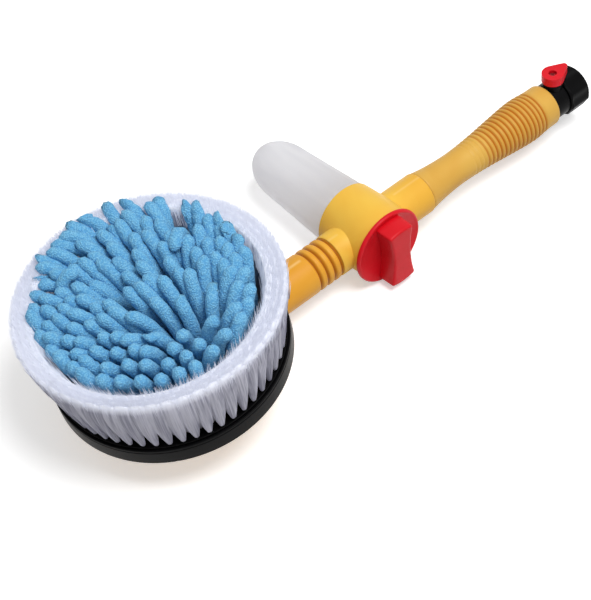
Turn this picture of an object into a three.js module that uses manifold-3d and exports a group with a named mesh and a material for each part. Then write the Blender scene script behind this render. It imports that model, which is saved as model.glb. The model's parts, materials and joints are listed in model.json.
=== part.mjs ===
// A water-driven rotary wash brush: hose nut and ball valve, grip, mixing body with soap bottle
// and knob, neck, and a head whose turbine drives the bristle plate through planet gears.
// Millimetres. X runs along the handle to the hose, Y along the bottle, Z up. The origin is the
// middle of the flat foot under the head, on the surface that the brush stands on.
import * as THREE from "three";
import { mergeVertices } from "three/addons/utils/BufferGeometryUtils.js";
import Module from "manifold-3d";

const wasm = await Module();
wasm.setup();

// Clearances
const seatGap = 0.3;
const runGap = 0.4;
const cutOver = 1;

// Water way and joints between the tubes
const waterRadius = 6.5;
const spigotRadius = 9.2;
const spigotLength = 11;
const sealPlace = 3;
const sealWidth = 1.4;
const sealDepth = 1.2;

// Handle line
const tubeRadius = 14.65;
const headReach = 161.6;
const rimRise = 7.8;
const headTilt = 7.9;
const neckGrooveCount = 4;
const neckGroovePitch = 6;
const neckGrooveWidth = 2.4;
const neckGrooveDepth = 1.3;
const grooveSlopeShare = 0.2;
const tubeGap = 4.9;
const neckSpigotRadius = 11.2;
const neckSpigotLength = 26;

// Brush plate
const rimRadius = 75.2;
const skirtHeight = 13;
const skirtWall = 3;
const plateThickness = 3;
const plateHoleRadius = 2.5;
const plateHoleCircle = 24;

// Bristles
const backing = 2;
const bristleHeight = 44.4;
const bristleTipRadius = 84.3;
const bristleEdge = 2.6;
const bristleRowCount = 3;
const bristlesInRow = 56;
const bristleRowPitch = 4.8;
const bristleRoot = 2.4;
const bristleTip = 4.5;
const bristleFillShare = 0.9;

// Chenille pad
const padGap = 0.6;
const padHoleRadius = 9;
const noodleCount = 132;
const noodleHeight = 44;
const noodleRootWidth = 4.6;
const noodleWidth = 6.1;
const noodleShoulderShare = 0.88;
const noodleFlareShare = 0.12;
const noodleLean = 4;

// Back housing
const flangeThickness = 2.5;
const flangeRise = 0.5;
const housingWall = 2.6;
const footRadius = 35;
const axleBossRadius = 6;
const nozzleRadius = 3;
const nozzleLength = 18;
const nozzleTurn = 47;

// Gear plate
const gearPlateRim = 10;
const gearPlateThickness = 2;
const gearPocketDepth = 4.3;
const pocketWall = 1.6;
const pocketRoom = 3.7;

// Gears
const gearModule = 1.25;
const sunTeeth = 12;
const planetTeeth = 18;
const ringTeeth = 48;
const planetCount = 3;
const planetPostRadius = 2.8;
const gearWidth = 7.6;
const ringWall = 3.8;

// Turbine
const turbineRadius = 31;
const turbineHubRadius = 8;
const turbineHeight = 14;
const turbineDisc = 2;
const turbineDepth = 5;
const bladeCount = 6;
const bladeThickness = 1.8;
const shaftRadius = 4.5;

// Axle, bush and fasteners of the head
const axleRadius = 2.6;
const axleSeat = 10;
const bushWall = 1.8;
const bushFlange = 1;
const washerThickness = 1;
const washerRadius = 6.5;
const axleScrewRadius = 1.3;
const axleScrewHead = 4;
const axleScrewHeadHeight = 2.4;
const axleScrewLength = 10;
const housingScrewCount = 4;
const housingScrewRadius = 1.6;
const housingScrewHead = 3.2;
const housingScrewHeadHeight = 2.2;
const screwPostRadius = 5;
const screwEdge = 5;
const screwPostHeight = 6;
const screwTopRadius = 4;
const screwTopHeight = 2.7;
const neckScrewRadius = 1.5;
const neckScrewHead = 2.9;
const neckScrewHeadHeight = 1.6;
const neckScrewSetback = 9;
const neckScrewTipShare = 0.15;
const driveWidth = 1.1;
const driveShare = 1.4;
const driveDepth = 1;

// Mixing body
const bodyRimRadius = 23.8;
const bodyBellyRadius = 25.2;
const bodyBottleSide = 20.8;
const bodyKnobSide = 18.3;
const frontStubEnd = 32.8;
const rearStubEnd = 48.3;
const bottleSocketDepth = 8.5;
const bottleThreadRadius = 21;
const knobPocketDepth = 7.5;
const knobPocketRadius = 22.4;
const spoolTubeRadius = 14;

// Mixing spool and its seals
const spoolRadius = 9;
const spoolBack = 12.4;
const spoolFront = 9;
const spoolSealPlace = 2;
const spoolBackSealPlace = 4.9;
const spoolWaterRadius = 5.5;
const soapRadius = 1.2;
const retainerRadius = 11.4;
const retainerThickness = 4.2;
const stemSquare = 7;
const stemReach = 27;

// Knob
const knobRadius = 26.8;
const knobFlange = 2.5;
const knobBevel = 0.7;
const knobBarLength = 41.5;
const knobBarWidth = 17.4;
const knobBarWaist = 12;
const knobBarHeight = 12.1;
const knobTopBevel = 0.9;

// Bottle
const bottleRadius = 22.8;
const bottleTaperRadius = 19.7;
const bottleStraight = 57;
const bottleDome = 28;
const bottleWall = 1.4;
const bottleShoulder = 1.2;
const bottleSealThickness = 1.4;
const bottleSealWidth = 4.5;
const dipTubeRadius = 2.2;
const dipTubeLength = 91;

// Grip
const gripWaistRadius = 11.42;
const gripBellyRadius = 16.15;
const gripLength = 119;
// Each row is a place along the grip and how far its radius has grown from waist to belly.
const gripOutlineShares = [
  [0, 0.588],
  [0.113, 0.207],
  [0.268, 0],
  [0.449, 0.228],
  [0.642, 0.693],
  [0.802, 1],
  [0.919, 0.8],
  [1, 0.757],
];
const gripGrooveCount = 18;
const gripGrooveFrom = 0.352;
const gripGrooveTo = 0.884;
const gripGrooveWidth = 1.9;
const gripGrooveDepth = 0.85;

// Valve
const valveRadius = 13.2;
const valveThreadRadius = 12.1;
const valveAxisReach = 7.4;
const valveBossRadius = 7;
const valveBossTop = 17.2;
const valveSpigotRadius = 11;
const valveSpigotLength = 15;
const valveBoreRadius = 9.3;
const valveThreadLength = 8.2;
const ballRadius = 8.9;
const ballBoreRadius = 5.2;
const seatThickness = 2.6;
const stemRadius = 3.6;
const stemFlange = 1.2;
const stemSquareShare = 1.2;
const tangWidth = 2.4;
const tangDepth = 1.6;

// Lever
const leverRadius = 7.6;
const leverTipRadius = 2.4;
const leverReach = 11;
const leverThickness = 6.2;
const leverRecessRadius = 2.9;
const leverRecessDepth = 2.4;
const leverScrewRadius = 1.2;
const leverScrewHeadHeight = 1;
const leverScrewLength = 6;

// Hose nut and tail
const nutReach = 13.5;
const nutLength = 15.8;
const nutRadius = 15.3;
const nutMouthRadius = 11.9;
const nutMouthDepth = 6;
const nutRibCount = 9;
const nutRibDepth = 0.9;
const nutChamfer = 1;
const tailFlange = 2;
const tailFlangeRadius = 9;
const tailRadius = 5.2;
const tailBarb = 0.7;
const tailBarbCount = 2;
const tailBarbPitch = 3.2;
const tailBoreRadius = 3.8;
const tailReach = 6.4;
const hoseWasherThickness = 1.5;

// Sides of round pieces, and the turns of a whole circle
const fewSides = 8;
const someSides = 16;
const manySides = 24;
const fullTurn = 2 * Math.PI;
const goldenAngle = Math.PI * (3 - Math.sqrt(5));
const tilt = THREE.MathUtils.degToRad(headTilt);
const weld = 0.0001;

// Places that follow from the sizes
const floorDrop = knobRadius;
const footDepth = (rimRise + floorDrop) / Math.cos(tilt);
const footShift = footDepth * Math.sin(tilt);
const neckStart = -headReach + (rimRadius - tubeGap) * Math.cos(tilt);
const neckEnd = -frontStubEnd - seatGap;
const plateUnder = skirtHeight - plateThickness;
const plateTop = skirtHeight;
const flangeRadius = rimRadius - skirtWall - 4 * runGap;
const flangeTop = flangeRise + flangeThickness;
const sunPitch = (gearModule * sunTeeth) / 2;
const planetPitch = (gearModule * planetTeeth) / 2;
const ringPitch = (gearModule * ringTeeth) / 2;
const planetCircle = sunPitch + planetPitch;
const pocketInner = ringPitch + ringWall + pocketRoom;
const pocketOuter = pocketInner + pocketWall;
const hubRadius = pocketOuter + seatGap + housingWall;
const gearPlateRadius = hubRadius + gearPlateRim;
const housingScrewCircle = gearPlateRadius - screwEdge;
const gearPlateUnder = flangeTop + seatGap;
const gearPlateTop = gearPlateUnder + gearPlateThickness;
const pocketFloor = gearPlateTop - gearPocketDepth;
const gearTop = plateUnder - seatGap;
const gearLow = gearTop - gearWidth;
const turbineTop = -turbineDepth;
const turbineBottom = turbineTop - turbineHeight;
const bossTop = turbineBottom - 2 * seatGap - washerThickness;
const backingTop = plateTop + seatGap + backing;
const bottleSocketFloor = bodyBottleSide - bottleSocketDepth;
const bottleStart = bodyBottleSide + seatGap;
const bottleNeckEnd = bottleSocketFloor + 2 * seatGap + bottleSealThickness;
const knobFace = -bodyKnobSide - seatGap;
const knobFront = knobFace - knobFlange;
const gripStart = rearStubEnd + seatGap;
const gripEnd = gripStart + gripLength;
const valveStart = gripEnd + seatGap;
const valveAxis = valveStart + valveAxisReach;
const nutStart = valveStart + nutReach;
const valveEnd = nutStart + valveThreadLength;
const leverUnder = valveBossTop + seatGap;
const leverTop = leverUnder + leverThickness;
const leverWeb = leverTop - leverRecessDepth;
const nutEnd = nutStart + nutLength;

const finishes = {
  yellow: { color: 0xeebe5a, roughness: 0.38, metalness: 0 },
  amber: { color: 0xe8a63c, roughness: 0.38, metalness: 0 },
  red: { color: 0xdf1f2e, roughness: 0.35, metalness: 0 },
  black: { color: 0x161618, roughness: 0.45, metalness: 0 },
  white: { color: 0xe9e9ee, roughness: 0.5, metalness: 0 },
  clear: { color: 0xd3d5d8, roughness: 0.3, metalness: 0 },
  steel: { color: 0xb9bcc0, roughness: 0.3, metalness: 1 },
  rubber: { color: 0x1b1b1b, roughness: 0.8, metalness: 0 },
  bristle: { color: 0xf0f0f7, roughness: 0.6, metalness: 0 },
  chenille: { color: 0x5fa9dc, roughness: 0.95, metalness: 0 },
};

// Makes a closed geometry a solid that can be joined and cut.
function solid(geometry) {
  const bare = geometry.index ? geometry.toNonIndexed() : geometry.clone();
  bare.deleteAttribute("normal");
  bare.deleteAttribute("uv");
  const merged = mergeVertices(bare, weld);
  const corners = [];
  for (let i = 0; i < merged.index.count; i += 3) {
    const [a, b, c] = [0, 1, 2].map((step) => merged.index.getX(i + step));
    if (a !== b && b !== c && c !== a) corners.push(a, b, c);
  }
  const vertProperties = new Float32Array(merged.attributes.position.array);
  const shape = (triVerts) =>
    new wasm.Manifold(new wasm.Mesh({ numProp: 3, vertProperties, triVerts }));
  const made = shape(new Uint32Array(corners));
  return made.volume() < 0 ? shape(new Uint32Array(corners.reverse())) : made;
}

function join(first, ...others) {
  return others.reduce((sum, other) => sum.add(solid(other)), solid(first));
}

function cut(body, ...tools) {
  return tools.reduce((rest, tool) => rest.subtract(solid(tool)), body);
}

// Adds a named mesh, made from a geometry or a solid, to a group.
function piece(group, name, finish, form) {
  const made = form.isBufferGeometry ? solid(form) : form;
  const { vertProperties, triVerts } = made.getMesh();
  const geometry = new THREE.BufferGeometry();
  geometry.setAttribute("position", new THREE.BufferAttribute(new Float32Array(vertProperties), 3));
  geometry.setIndex(new THREE.BufferAttribute(new Uint32Array(triVerts), 1));
  const flat = geometry.toNonIndexed();
  flat.computeVertexNormals();
  const mesh = new THREE.Mesh(flat, new THREE.MeshStandardMaterial(finishes[finish]));
  mesh.name = name;
  group.add(mesh);
  return mesh;
}

// Turns an outline of [radius, height] pairs round the Z axis. One that leaves the axis is closed.
function turned(outline, sides = someSides) {
  const closed = outline[0][0] === 0 ? outline : [...outline, outline[0]];
  const points = closed.map(([radius, height]) => new THREE.Vector2(radius, height));
  return new THREE.LatheGeometry(points, sides).rotateX(Math.PI / 2);
}

function rod(radius, low, high, sides = someSides) {
  return turned([[0, low], [radius, low], [radius, high], [0, high]], sides);
}

function ring(inner, outer, low, high, sides = someSides) {
  return turned([[inner, low], [outer, low], [outer, high], [inner, high]], sides);
}

function block(width, depth, low, high) {
  const middle = (low + high) / 2;
  return new THREE.BoxGeometry(width, depth, high - low).translate(0, 0, middle);
}

// Lays what stands along Z along the handle or along the bottle.
const alongX = (geometry) => geometry.rotateY(Math.PI / 2);
const alongY = (geometry) => geometry.rotateX(-Math.PI / 2);

// Takes a geometry from the frame of the handle to the frame of the tilted head.
const inHead = (geometry) => geometry.translate(headReach, 0, -rimRise).rotateY(tilt);

// The outline of a notch cut into a round wall, from low to high.
function notch(radius, low, high, depth, slope) {
  return [
    [radius, low],
    [radius - depth, low + slope],
    [radius - depth, high - slope],
    [radius, high],
  ];
}

const brush = new THREE.Group();
const handle = new THREE.Group();
handle.position.set(headReach - footShift, 0, floorDrop);
brush.add(handle);
const head = new THREE.Group();
head.position.set(-headReach, 0, rimRise);
head.rotation.y = -tilt;
handle.add(head);

// Everything under the surface that the brush stands on is cut off the housing.
function belowFloor(rise) {
  const reach = rimRadius * 2;
  const slab = block(reach, reach, -floorDrop - reach, -floorDrop + rise);
  return inHead(slab.translate(-headReach, 0, 0));
}

// Points at an angle round the head's axis
function around(circle, angle) {
  return [circle * Math.cos(angle), circle * Math.sin(angle)];
}

const screwAngles = Array.from(
  { length: housingScrewCount },
  (_, index) => (fullTurn * (index + 0.5)) / housingScrewCount,
);
const planetAngles = Array.from({ length: planetCount }, (_, index) => (fullTurn * index) / planetCount);

// Back housing: flange, conical hub with a flat foot, and the socket for the neck
function backHousing() {
  const slope = (hubRadius - footRadius) / (flangeRise + footDepth);
  const hubEnd = -footDepth - footRadius * Math.tan(tilt) - cutOver;
  const hubEndRadius = footRadius - slope * (-footDepth - hubEnd);
  const shell = turned(
    [
      [0, hubEnd],
      [hubEndRadius, hubEnd],
      [hubRadius, flangeRise],
      [flangeRadius, flangeRise],
      [flangeRadius, flangeTop],
      [0, flangeTop],
    ],
    manySides,
  );
  const hollow = solid(
    turned(
      [
        [0, hubEnd],
        [hubEndRadius - housingWall, hubEnd],
        [hubRadius - housingWall, flangeRise],
        [hubRadius - housingWall, flangeTop + cutOver],
        [0, flangeTop + cutOver],
      ],
      manySides,
    ),
  ).subtract(solid(belowFloor(housingWall)));
  const socketLow = -headReach + hubRadius - housingWall - neckSpigotRadius;
  const socketEnd = neckStart - seatGap;
  const posts = screwAngles.map((angle) =>
    rod(screwPostRadius, flangeRise - screwPostHeight, flangeTop, fewSides).translate(
      ...around(housingScrewCircle, angle),
      0,
    ),
  );
  const outside = join(shell, inHead(alongX(rod(tubeRadius, socketLow, socketEnd, manySides))), ...posts);
  const open = outside.subtract(hollow);
  const boss = rod(axleBossRadius, hubEnd, bossTop, fewSides);
  const socketDepth = neckStart - neckSpigotLength - seatGap;
  const nozzle = alongX(rod(nozzleRadius, -nozzleLength, 0, fewSides));
  nozzle.rotateZ(-THREE.MathUtils.degToRad(nozzleTurn)).translate(socketDepth + nozzleRadius, 0, 0);
  const screwX = neckStart - neckScrewSetback;
  const neckScrewHole = rod(neckScrewRadius + seatGap, -tubeRadius - cutOver, 0, fewSides);
  const neckHeadHole = rod(
    neckScrewHead + seatGap,
    -tubeRadius - cutOver,
    -tubeRadius + 2 * seatGap + neckScrewHeadHeight,
    fewSides,
  );
  const screwHoles = screwAngles.flatMap((angle) => {
    const place = around(housingScrewCircle, angle);
    const seat = flangeRise - housingScrewHeadHeight;
    return [
      rod(housingScrewRadius + seatGap, seat, flangeTop + cutOver, fewSides).translate(...place, 0),
      rod(housingScrewHead + seatGap, flangeRise - screwPostHeight - cutOver, seat, fewSides).translate(
        ...place,
        0,
      ),
    ];
  });
  return cut(
    open.add(solid(boss)),
    belowFloor(0),
    inHead(alongX(rod(neckSpigotRadius + seatGap, socketDepth, socketEnd + cutOver, manySides))),
    inHead(nozzle),
    inHead(neckScrewHole.translate(screwX, 0, 0)),
    inHead(neckHeadHole.translate(screwX, 0, 0)),
    rod(axleRadius + seatGap, bossTop - axleSeat - seatGap, bossTop + cutOver, fewSides),
    ...screwHoles,
  );
}
piece(head, "back_housing", "yellow", backHousing());

// Gear plate: closes the turbine chamber and carries the planet posts in its pocket
function gearPlate() {
  const pocket = turned(
    [
      [shaftRadius + runGap, pocketFloor - gearPlateThickness],
      [pocketOuter, pocketFloor - gearPlateThickness],
      [pocketOuter, gearPlateUnder],
      [gearPlateRadius, gearPlateUnder],
      [gearPlateRadius, gearPlateTop],
      [pocketInner, gearPlateTop],
      [pocketInner, pocketFloor],
      [shaftRadius + runGap, pocketFloor],
    ],
    manySides,
  );
  const posts = planetAngles.map((angle) =>
    rod(planetPostRadius, pocketFloor - gearPlateThickness / 2, gearTop, fewSides).translate(
      ...around(planetCircle, angle),
      0,
    ),
  );
  const tops = screwAngles.map((angle) =>
    rod(screwTopRadius, gearPlateUnder, gearPlateTop + screwTopHeight, fewSides).translate(
      ...around(housingScrewCircle, angle),
      0,
    ),
  );
  const screwHoleEnd = gearPlateTop + screwTopHeight - seatGap;
  const screwHoles = screwAngles.map((angle) =>
    rod(housingScrewRadius + seatGap, gearPlateUnder - cutOver, screwHoleEnd, fewSides).translate(
      ...around(housingScrewCircle, angle),
      0,
    ),
  );
  const waterHoles = planetAngles.map((angle) =>
    rod(nozzleRadius, pocketFloor - gearPlateThickness - cutOver, pocketFloor + cutOver, fewSides).translate(
      ...around(planetCircle, angle + Math.PI),
      0,
    ),
  );
  return cut(join(pocket, ...posts, ...tops), ...screwHoles, ...waterHoles);
}
piece(head, "gear_plate", "white", gearPlate());

// A screw along Z with its head down, from the seat of its head
function screw(radius, length, headRadius, headHeight) {
  const shank = rod(radius, -headHeight / 2, length, fewSides);
  const top = rod(headRadius, -headHeight, 0, fewSides);
  const slot = block(driveWidth, headRadius * driveShare, -headHeight, -headHeight + driveDepth);
  return cut(join(shank, top), slot);
}

screwAngles.forEach((angle, index) => {
  const seat = flangeRise - housingScrewHeadHeight - seatGap;
  const length = gearPlateTop + screwTopHeight - 2 * seatGap - seat - driveDepth;
  const form = screw(housingScrewRadius, length, housingScrewHead, housingScrewHeadHeight);
  const mesh = piece(head, "housing_screw_" + (index + 1), "steel", form);
  mesh.position.set(...around(housingScrewCircle, angle), seat);
});

// Axle, pressed into the housing's boss, with a tapped end for its screw
const axleEnd = plateTop + seatGap / 2;
piece(
  head,
  "centre_axle",
  "steel",
  cut(
    solid(rod(axleRadius, bossTop - axleSeat, axleEnd, fewSides)),
    rod(axleScrewRadius + seatGap / 2, axleEnd - axleScrewLength, axleEnd + cutOver, fewSides),
  ),
);
piece(
  head,
  "turbine_washer",
  "white",
  ring(axleRadius + runGap, axleBossRadius, bossTop + seatGap, bossTop + seatGap + washerThickness, fewSides),
);

// Turbine: disc, hub and blades, with a hollow shaft up through the gear plate
function turbineWheel() {
  const wheel = turned([
    [0, turbineBottom],
    [turbineHubRadius, turbineBottom],
    [turbineHubRadius, turbineTop - turbineDisc],
    [turbineRadius, turbineTop - turbineDisc],
    [turbineRadius, turbineTop],
    [shaftRadius, turbineTop],
    [shaftRadius, gearTop - seatGap],
    [0, gearTop - seatGap],
  ]);
  const bladeLength = turbineRadius - turbineHubRadius / 2;
  const blades = Array.from({ length: bladeCount }, (_, index) =>
    block(bladeLength, bladeThickness, turbineBottom, turbineTop - turbineDisc / 2)
      .translate(turbineRadius - bladeLength / 2 - seatGap, 0, 0)
      .rotateZ((fullTurn * index) / bladeCount),
  );
  return cut(join(wheel, ...blades), rod(axleRadius + runGap, turbineBottom - cutOver, gearTop + cutOver));
}
piece(head, "turbine_wheel", "white", turbineWheel());

// A gear's outline: straight-sided teeth, thinner than their gaps so that they run with play.
const toothTipShare = 0.03;
const addendumShare = 0.85;
const dedendumShare = 1.2;
function gearOutline(teeth, root, tip, turn) {
  const pitch = fullTurn / teeth;
  return Array.from({ length: teeth }, (_, index) => index * pitch + turn).flatMap((angle) => [
    around(root, angle - pitch / 2),
    around(tip, angle - pitch * toothTipShare),
    around(tip, angle + pitch * toothTipShare),
  ]);
}

function shapeOf(points) {
  return new THREE.Shape(points.map(([x, y]) => new THREE.Vector2(x, y)));
}

function slice(shape, low, high) {
  const settings = { depth: high - low, bevelEnabled: false, curveSegments: fewSides };
  return new THREE.ExtrudeGeometry(shape, settings).translate(0, 0, low);
}

// A gear with outside teeth, one of them centred on the angle turn
function outsideGear(teeth, boreRadius, boreSides, turn) {
  const pitchRadius = (gearModule * teeth) / 2;
  const root = pitchRadius - gearModule * dedendumShare;
  const tip = pitchRadius + gearModule * addendumShare;
  const blank = slice(shapeOf(gearOutline(teeth, root, tip, turn)), gearLow, gearTop - seatGap);
  return cut(solid(blank), rod(boreRadius, gearLow - cutOver, gearTop + cutOver, boreSides));
}
piece(
  head,
  "sun_gear",
  "white",
  outsideGear(sunTeeth, shaftRadius + seatGap, someSides, Math.PI / sunTeeth),
);
planetAngles.forEach((angle, index) => {
  const form = outsideGear(planetTeeth, planetPostRadius + runGap, fewSides, angle);
  const mesh = piece(head, "planet_gear_" + (index + 1), "white", form);
  mesh.position.set(...around(planetCircle, angle), 0);
});

// The ring gear hangs under the brush plate. Its teeth point inwards, with a gap centred on X.
const ringHalfTooth = Math.PI / ringTeeth;
const ringOutside = ringPitch + gearModule * dedendumShare + ringWall;
const ringTeethOutline = gearOutline(
  ringTeeth,
  ringPitch + gearModule * dedendumShare,
  ringPitch - gearModule * addendumShare,
  ringHalfTooth,
);
piece(
  head,
  "ring_gear",
  "white",
  solid(rod(ringOutside, gearLow, gearTop, manySides)).subtract(
    solid(slice(shapeOf(ringTeethOutline), gearLow - cutOver, gearTop + cutOver)),
  ),
);

// Brush plate: a disc with a skirt, holes for the water and a centre hole for its bush
const bushRadius = axleRadius + runGap + bushWall;
function brushPlate() {
  const dish = turned(
    [
      [0, plateUnder],
      [rimRadius - skirtWall, plateUnder],
      [rimRadius - skirtWall, 0],
      [rimRadius, 0],
      [rimRadius, plateTop],
      [0, plateTop],
    ],
    manySides + fewSides,
  );
  const holes = Array.from({ length: 2 * planetCount }, (_, index) =>
    rod(plateHoleRadius, plateUnder - cutOver, plateTop + cutOver, fewSides).translate(
      ...around(plateHoleCircle, (fullTurn * (index + 0.5)) / (2 * planetCount)),
      0,
    ),
  );
  return cut(solid(dish), rod(bushRadius + seatGap, plateUnder - cutOver, plateTop + cutOver), ...holes);
}
piece(head, "brush_plate", "black", brushPlate());
piece(
  head,
  "plate_bush",
  "white",
  turned(
    [
      [axleRadius + runGap, plateUnder],
      [bushRadius, plateUnder],
      [bushRadius, plateTop + seatGap],
      [washerRadius, plateTop + seatGap],
      [washerRadius, plateTop + seatGap + bushFlange],
      [axleRadius + runGap, plateTop + seatGap + bushFlange],
    ],
    fewSides,
  ),
);
const washerLow = plateTop + 2 * seatGap + bushFlange;
piece(
  head,
  "axle_washer",
  "steel",
  ring(axleScrewRadius + seatGap, washerRadius, washerLow, washerLow + washerThickness, fewSides),
);
const axleScrewForm = screw(
  axleScrewRadius,
  axleScrewLength - driveDepth,
  axleScrewHead,
  axleScrewHeadHeight,
);
const axleScrew = piece(head, "axle_screw", "steel", axleScrewForm);
axleScrew.rotation.x = Math.PI;
axleScrew.position.z = washerLow + washerThickness + seatGap;

// Joins rings of four corners into one closed four-sided strand.
function strand(rings) {
  const corners = [];
  const quad = (a, b, c, d) => corners.push(...a, ...b, ...c, ...a, ...c, ...d);
  quad(...rings[0].toReversed());
  rings.slice(1).forEach((upper, index) => {
    const lower = rings[index];
    lower.forEach((corner, side) => {
      const next = (side + 1) % 4;
      quad(corner, lower[next], upper[next], upper[side]);
    });
  });
  quad(...rings.at(-1));
  return corners;
}

// Four corners round a middle, along the radius and across it
function strandRing(x, y, height, angle, alongRadius, across) {
  const out = [Math.cos(angle), Math.sin(angle)];
  const side = [-out[1], out[0]];
  return [
    [-1, -1],
    [1, -1],
    [1, 1],
    [-1, 1],
  ].map(([u, v]) => [
    x + (u * out[0] * alongRadius + v * side[0] * across) / 2,
    y + (u * out[1] * alongRadius + v * side[1] * across) / 2,
    height,
  ]);
}

function strandsGeometry(strands) {
  const geometry = new THREE.BufferGeometry();
  const corners = new Float32Array(strands.flat());
  return geometry.setAttribute("position", new THREE.BufferAttribute(corners, 3));
}

// Bristles: rows of tufts that flare outwards and widen until they meet, on a slice of backing
const bristleRootRadius = rimRadius - bristleEdge - bristleRoot / 2;
const bristleInside = bristleRootRadius - (bristleRowCount - 1) * bristleRowPitch - bristleRoot;
function bristleRing() {
  const tufts = Array.from({ length: bristleRowCount }, (_, row) => {
    const root = bristleRootRadius - row * bristleRowPitch;
    const tip = bristleTipRadius - bristleTip / 2 - row * bristleRowPitch;
    const tipAcross = ((fullTurn * tip) / bristlesInRow) * bristleFillShare;
    return Array.from({ length: bristlesInRow }, (_, index) => {
      const angle = (fullTurn * (index + row / 2)) / bristlesInRow;
      return strand([
        strandRing(...around(root, angle), backingTop - backing / 2, angle, bristleRoot, bristleRoot),
        strandRing(...around(tip, angle), backingTop + bristleHeight, angle, bristleTip, tipAcross),
      ]);
    });
  });
  const base = ring(bristleInside, rimRadius - bristleEdge / 2, plateTop + seatGap, backingTop, manySides);
  return join(base, strandsGeometry(tufts.flat()));
}
piece(head, "bristle_ring", "bristle", bristleRing());

// Chenille pad: noodles in a sunflower pattern, which flare and lean a little, on a round base
function chenillePad() {
  const padRadius = bristleInside - padGap;
  const placeRadius = padRadius - noodleWidth / 2;
  const last = noodleCount + (noodleCount * padHoleRadius ** 2) / placeRadius ** 2;
  const first = Math.ceil(last - noodleCount);
  const noodles = Array.from({ length: noodleCount }, (_, index) => {
    const number = first + index + 1;
    const circle = placeRadius * Math.sqrt(number / (first + noodleCount));
    const angle = number * goldenAngle;
    const level = (rise, width) => {
      const grown = circle * (1 + noodleFlareShare * rise);
      const [x, y] = around(grown, angle);
      const height = backingTop - backing / 2 + rise * (noodleHeight + backing / 2);
      const lean = noodleLean * rise ** 2;
      return strandRing(x - lean, y + lean / 2, height, angle, width, width);
    };
    return strand([
      level(0, noodleRootWidth),
      level(noodleShoulderShare, noodleWidth),
      level(1, 0),
    ]);
  });
  return join(
    ring(padHoleRadius, padRadius, plateTop + seatGap, backingTop, manySides),
    strandsGeometry(noodles),
  );
}
piece(head, "chenille_pad", "chenille", chenillePad());

// A flat seal ring for a groove of the sealDepth
function seal(grooveTop, low) {
  return ring(grooveTop - sealDepth + seatGap / 2, grooveTop, low, low + sealWidth);
}

// The outline of a seal's groove, which has half a seat gap at each side of the seal
function sealNotch(radius, low) {
  return notch(radius, low - seatGap / 2, low + sealWidth + seatGap / 2, sealDepth, 0);
}

// Neck tube: one spigot in the head's socket, four grooves, and one spigot in the mixing body
const headSealLow = neckStart - neckSpigotLength + sealPlace;
const neckSealLow = neckEnd + spigotLength - sealPlace - sealWidth;
function neckTube() {
  const grooves = Array.from({ length: neckGrooveCount }, (_, index) => {
    const middle = -frontStubEnd - neckGrooveWidth / 2 - (neckGrooveCount - 1 - index) * neckGroovePitch;
    const low = middle - neckGrooveWidth / 2;
    const high = middle + neckGrooveWidth / 2;
    return notch(tubeRadius, low, high, neckGrooveDepth, neckGrooveWidth * grooveSlopeShare);
  }).flat();
  const outline = [
    [waterRadius, neckStart - neckSpigotLength],
    [neckSpigotRadius, neckStart - neckSpigotLength],
    ...sealNotch(neckSpigotRadius, headSealLow),
    [neckSpigotRadius, neckStart],
    [tubeRadius, neckStart],
    ...grooves.slice(0, -2),
    [tubeRadius - neckGrooveDepth, neckEnd],
    [spigotRadius, neckEnd],
    ...sealNotch(spigotRadius, neckSealLow),
    [spigotRadius, neckEnd + spigotLength],
    [waterRadius, neckEnd + spigotLength],
  ];
  const holeRadius = neckScrewRadius + seatGap;
  const screwHole = rod(holeRadius, -neckSpigotRadius - cutOver, neckScrewTip + seatGap, fewSides);
  screwHole.translate(neckStart - neckScrewSetback, 0, 0);
  return cut(solid(alongX(turned(outline))), screwHole);
}
const neckScrewTip = -waterRadius - neckSpigotRadius * neckScrewTipShare;
piece(handle, "neck_tube", "amber", neckTube());
piece(handle, "neck_head_seal", "rubber", alongX(seal(neckSpigotRadius, headSealLow)));
piece(handle, "neck_body_seal", "rubber", alongX(seal(spigotRadius, neckSealLow)));
const neckScrewSeat = -tubeRadius + neckScrewHeadHeight + seatGap;
const neckScrewForm = screw(
  neckScrewRadius,
  neckScrewTip - neckScrewSeat - seatGap,
  neckScrewHead,
  neckScrewHeadHeight,
);
const neckScrew = piece(handle, "neck_screw", "steel", neckScrewForm);
neckScrew.position.set(neckStart - neckScrewSetback, 0, neckScrewSeat);

// Mixing body: a barrel across the handle with two stubs, the bottle's socket and the spool's bore
function mixingBody() {
  const barrel = turned(
    [
      [0, -bodyKnobSide],
      [(bodyBellyRadius + bodyRimRadius) / 2, -bodyKnobSide],
      [bodyBellyRadius, -bodyKnobSide / 2],
      [(bodyBellyRadius + bodyRimRadius) / 2, bodyBottleSide / 2],
      [bodyRimRadius, bodyBottleSide],
      [0, bodyBottleSide],
    ],
    manySides,
  );
  const stubs = alongX(rod(tubeRadius, -frontStubEnd, rearStubEnd, manySides));
  const spoolBore = spoolRadius + seatGap;
  return cut(
    join(alongY(barrel), stubs),
    alongY(rod(bottleThreadRadius + seatGap, bottleSocketFloor, bodyBottleSide + cutOver, manySides)),
    alongY(
      ring(
        spoolTubeRadius,
        knobPocketRadius,
        -bodyKnobSide - cutOver,
        -bodyKnobSide + knobPocketDepth,
        someSides,
      ),
    ),
    alongY(rod(spoolBore, -bodyKnobSide - cutOver, spoolFront + seatGap)),
    alongY(rod(retainerRadius + seatGap, -bodyKnobSide - cutOver, -spoolBack)),
    alongY(rod(dipTubeRadius + seatGap, spoolFront, bottleSocketFloor + cutOver, fewSides)),
    alongX(rod(waterRadius, -frontStubEnd - cutOver, rearStubEnd + cutOver)),
    alongX(rod(spigotRadius + seatGap, -frontStubEnd - cutOver, -frontStubEnd + spigotLength)),
    alongX(rod(spigotRadius + seatGap, rearStubEnd - spigotLength, rearStubEnd + cutOver)),
  );
}
piece(handle, "mixing_body", "yellow", mixingBody());

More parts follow.
